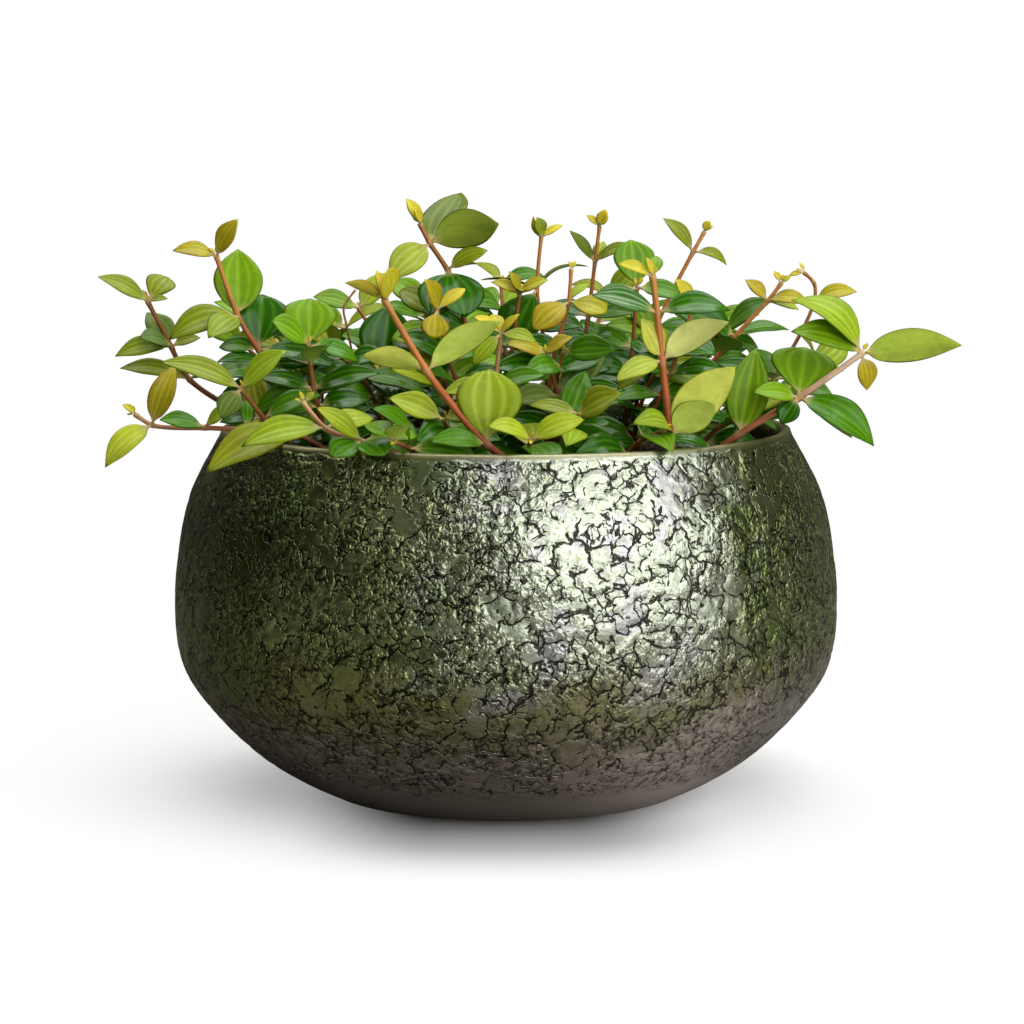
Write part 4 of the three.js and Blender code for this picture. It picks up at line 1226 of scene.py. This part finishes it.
foliage, start = cleared(bpy.data.materials.new("striped_leaves_and_stems"))
COLOUR_OUTPUT = 0
VALUE_OUTPUT = 2
MARGIN_PAINT = paint("8a5a28")
SHADE_PAINT = paint("1c3310")


def given_value(name, output):
    return start.node("ShaderNodeAttribute", None, output, attribute_name=name)


def stripe_at(where, edges):
    """1 on a stripe that runs along the blade at this share of its half width."""
    return 1 - (spread - where).maths("ABSOLUTE").step(*edges)


tint, stripe = (given_value(name, COLOUR_OUTPUT) for name in ("tint", "stripe"))
veins, gloss, across = (given_value(name, VALUE_OUTPUT) for name in ("veins", "gloss", "across"))
place = in_millimetres(start.node("ShaderNodeTexCoord", output="Object"))
spread = across.maths("ABSOLUTE")
midrib = 1 - spread.step(0.01, 0.17)
lines = midrib.maths("MAXIMUM", stripe_at(VEIN_AT, (0.01, 0.14)) * 0.8)
lines = lines.maths("MAXIMUM", stripe_at(0.78, (0.01, 0.08)) * 0.2) * veins
margin = spread.step(0.94, 0.99) * veins.step(0.6, 0.8) * 0.35
cloud = noise(place, 8.0, 3.0)
speck = noise(place, 1.6, 1.0)
colour = margin.mixed((lines * (cloud * 0.5 + 0.2)).mixed(tint, stripe), MARGIN_PAINT)
shade = speck.step(0.4, 0.75) * 0.05 + cloud.step(0.4, 0.7) * 0.2
relief = speck * 0.06 - lines * 0.6
bump = start.node("ShaderNodeBump", {"Strength": 0.25, "Distance": 0.5 * MM, "Height": relief})
finish_material(
    start,
    {
        "Base Color": shade.mixed(colour, SHADE_PAINT),
        "Roughness": 0.62 - gloss * 0.4,
        "Specular IOR Level": 0.14,
        "Coat Weight": gloss * 0.18,
        "Coat Roughness": 0.08,
        "Normal": bump,
    },
)


def leafy_stem(name, thickness, bark, joints):
    """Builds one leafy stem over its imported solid, or returns False if the layout is another one."""
    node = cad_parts[name]
    tree = KDTree(len(node.data.vertices))
    for i, vertex in enumerate(node.data.vertices):
        tree.insert(vertex.co, i)
    tree.balance()
    packed = []
    for at, *leaves in joints:
        for leaf in leaves:
            leaf = (*leaf[:-1], *(LEAF_WIDTH, ARCH, None)[len(leaf) - 4 :], leaf[-1])
            shape = found_bend(Vector(at), leaf, tree)
            if shape:
                packed.append((Vector(at), shape, leaf[-1]))
    if not packed:
        return False
    mesh = Mesh()
    draw = random.Random(name)
    line = add_stem(mesh, joints, thickness, bark)
    for base, shape, look in packed:
        add_leaf(mesh, base, shape, look, thickness, draw)
    fill_in(mesh, joints, line, thickness, draw)
    add_sprout(mesh, joints, thickness, draw)
    shoot = mesh.object(name + "_dressed")
    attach(shoot, "root")
    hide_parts(name)
    return True


for (name, thickness, bark), joints in SHOOTS.items():
    leafy_stem(name, thickness, bark, joints)
mat_rows = [(f"{zone}_mat_{k}", row) for zone in MAT_ZONES for k, row in enumerate(MAT_ZONES[zone], 1)]
for number, (name, row) in enumerate(mat_rows, 1):
    for attempt in range(MAT["tries"]):
        if leafy_stem(name, MAT["thickness"], "brown", drawn_shoot(row, number, attempt)):
            break

# Dry twig
# One dead, leafless shoot about 1 mm thick that stands among the leaves at the left and is bent near
# its top. It has the brown bark and the material of the living stems.
TWIG_PLACES = [(-62, -4, 151), (-67, -7, 188), (-71.5, -8, 211), (-72.4, -8, 218), (-67.5, -8, 225)]
TWIG_THICKNESS = 1.3

mesh = Mesh()
add_stem(mesh, [[at] for at in TWIG_PLACES], TWIG_THICKNESS, "brown")
twig = mesh.object("dry_twig")
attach(twig, "root")
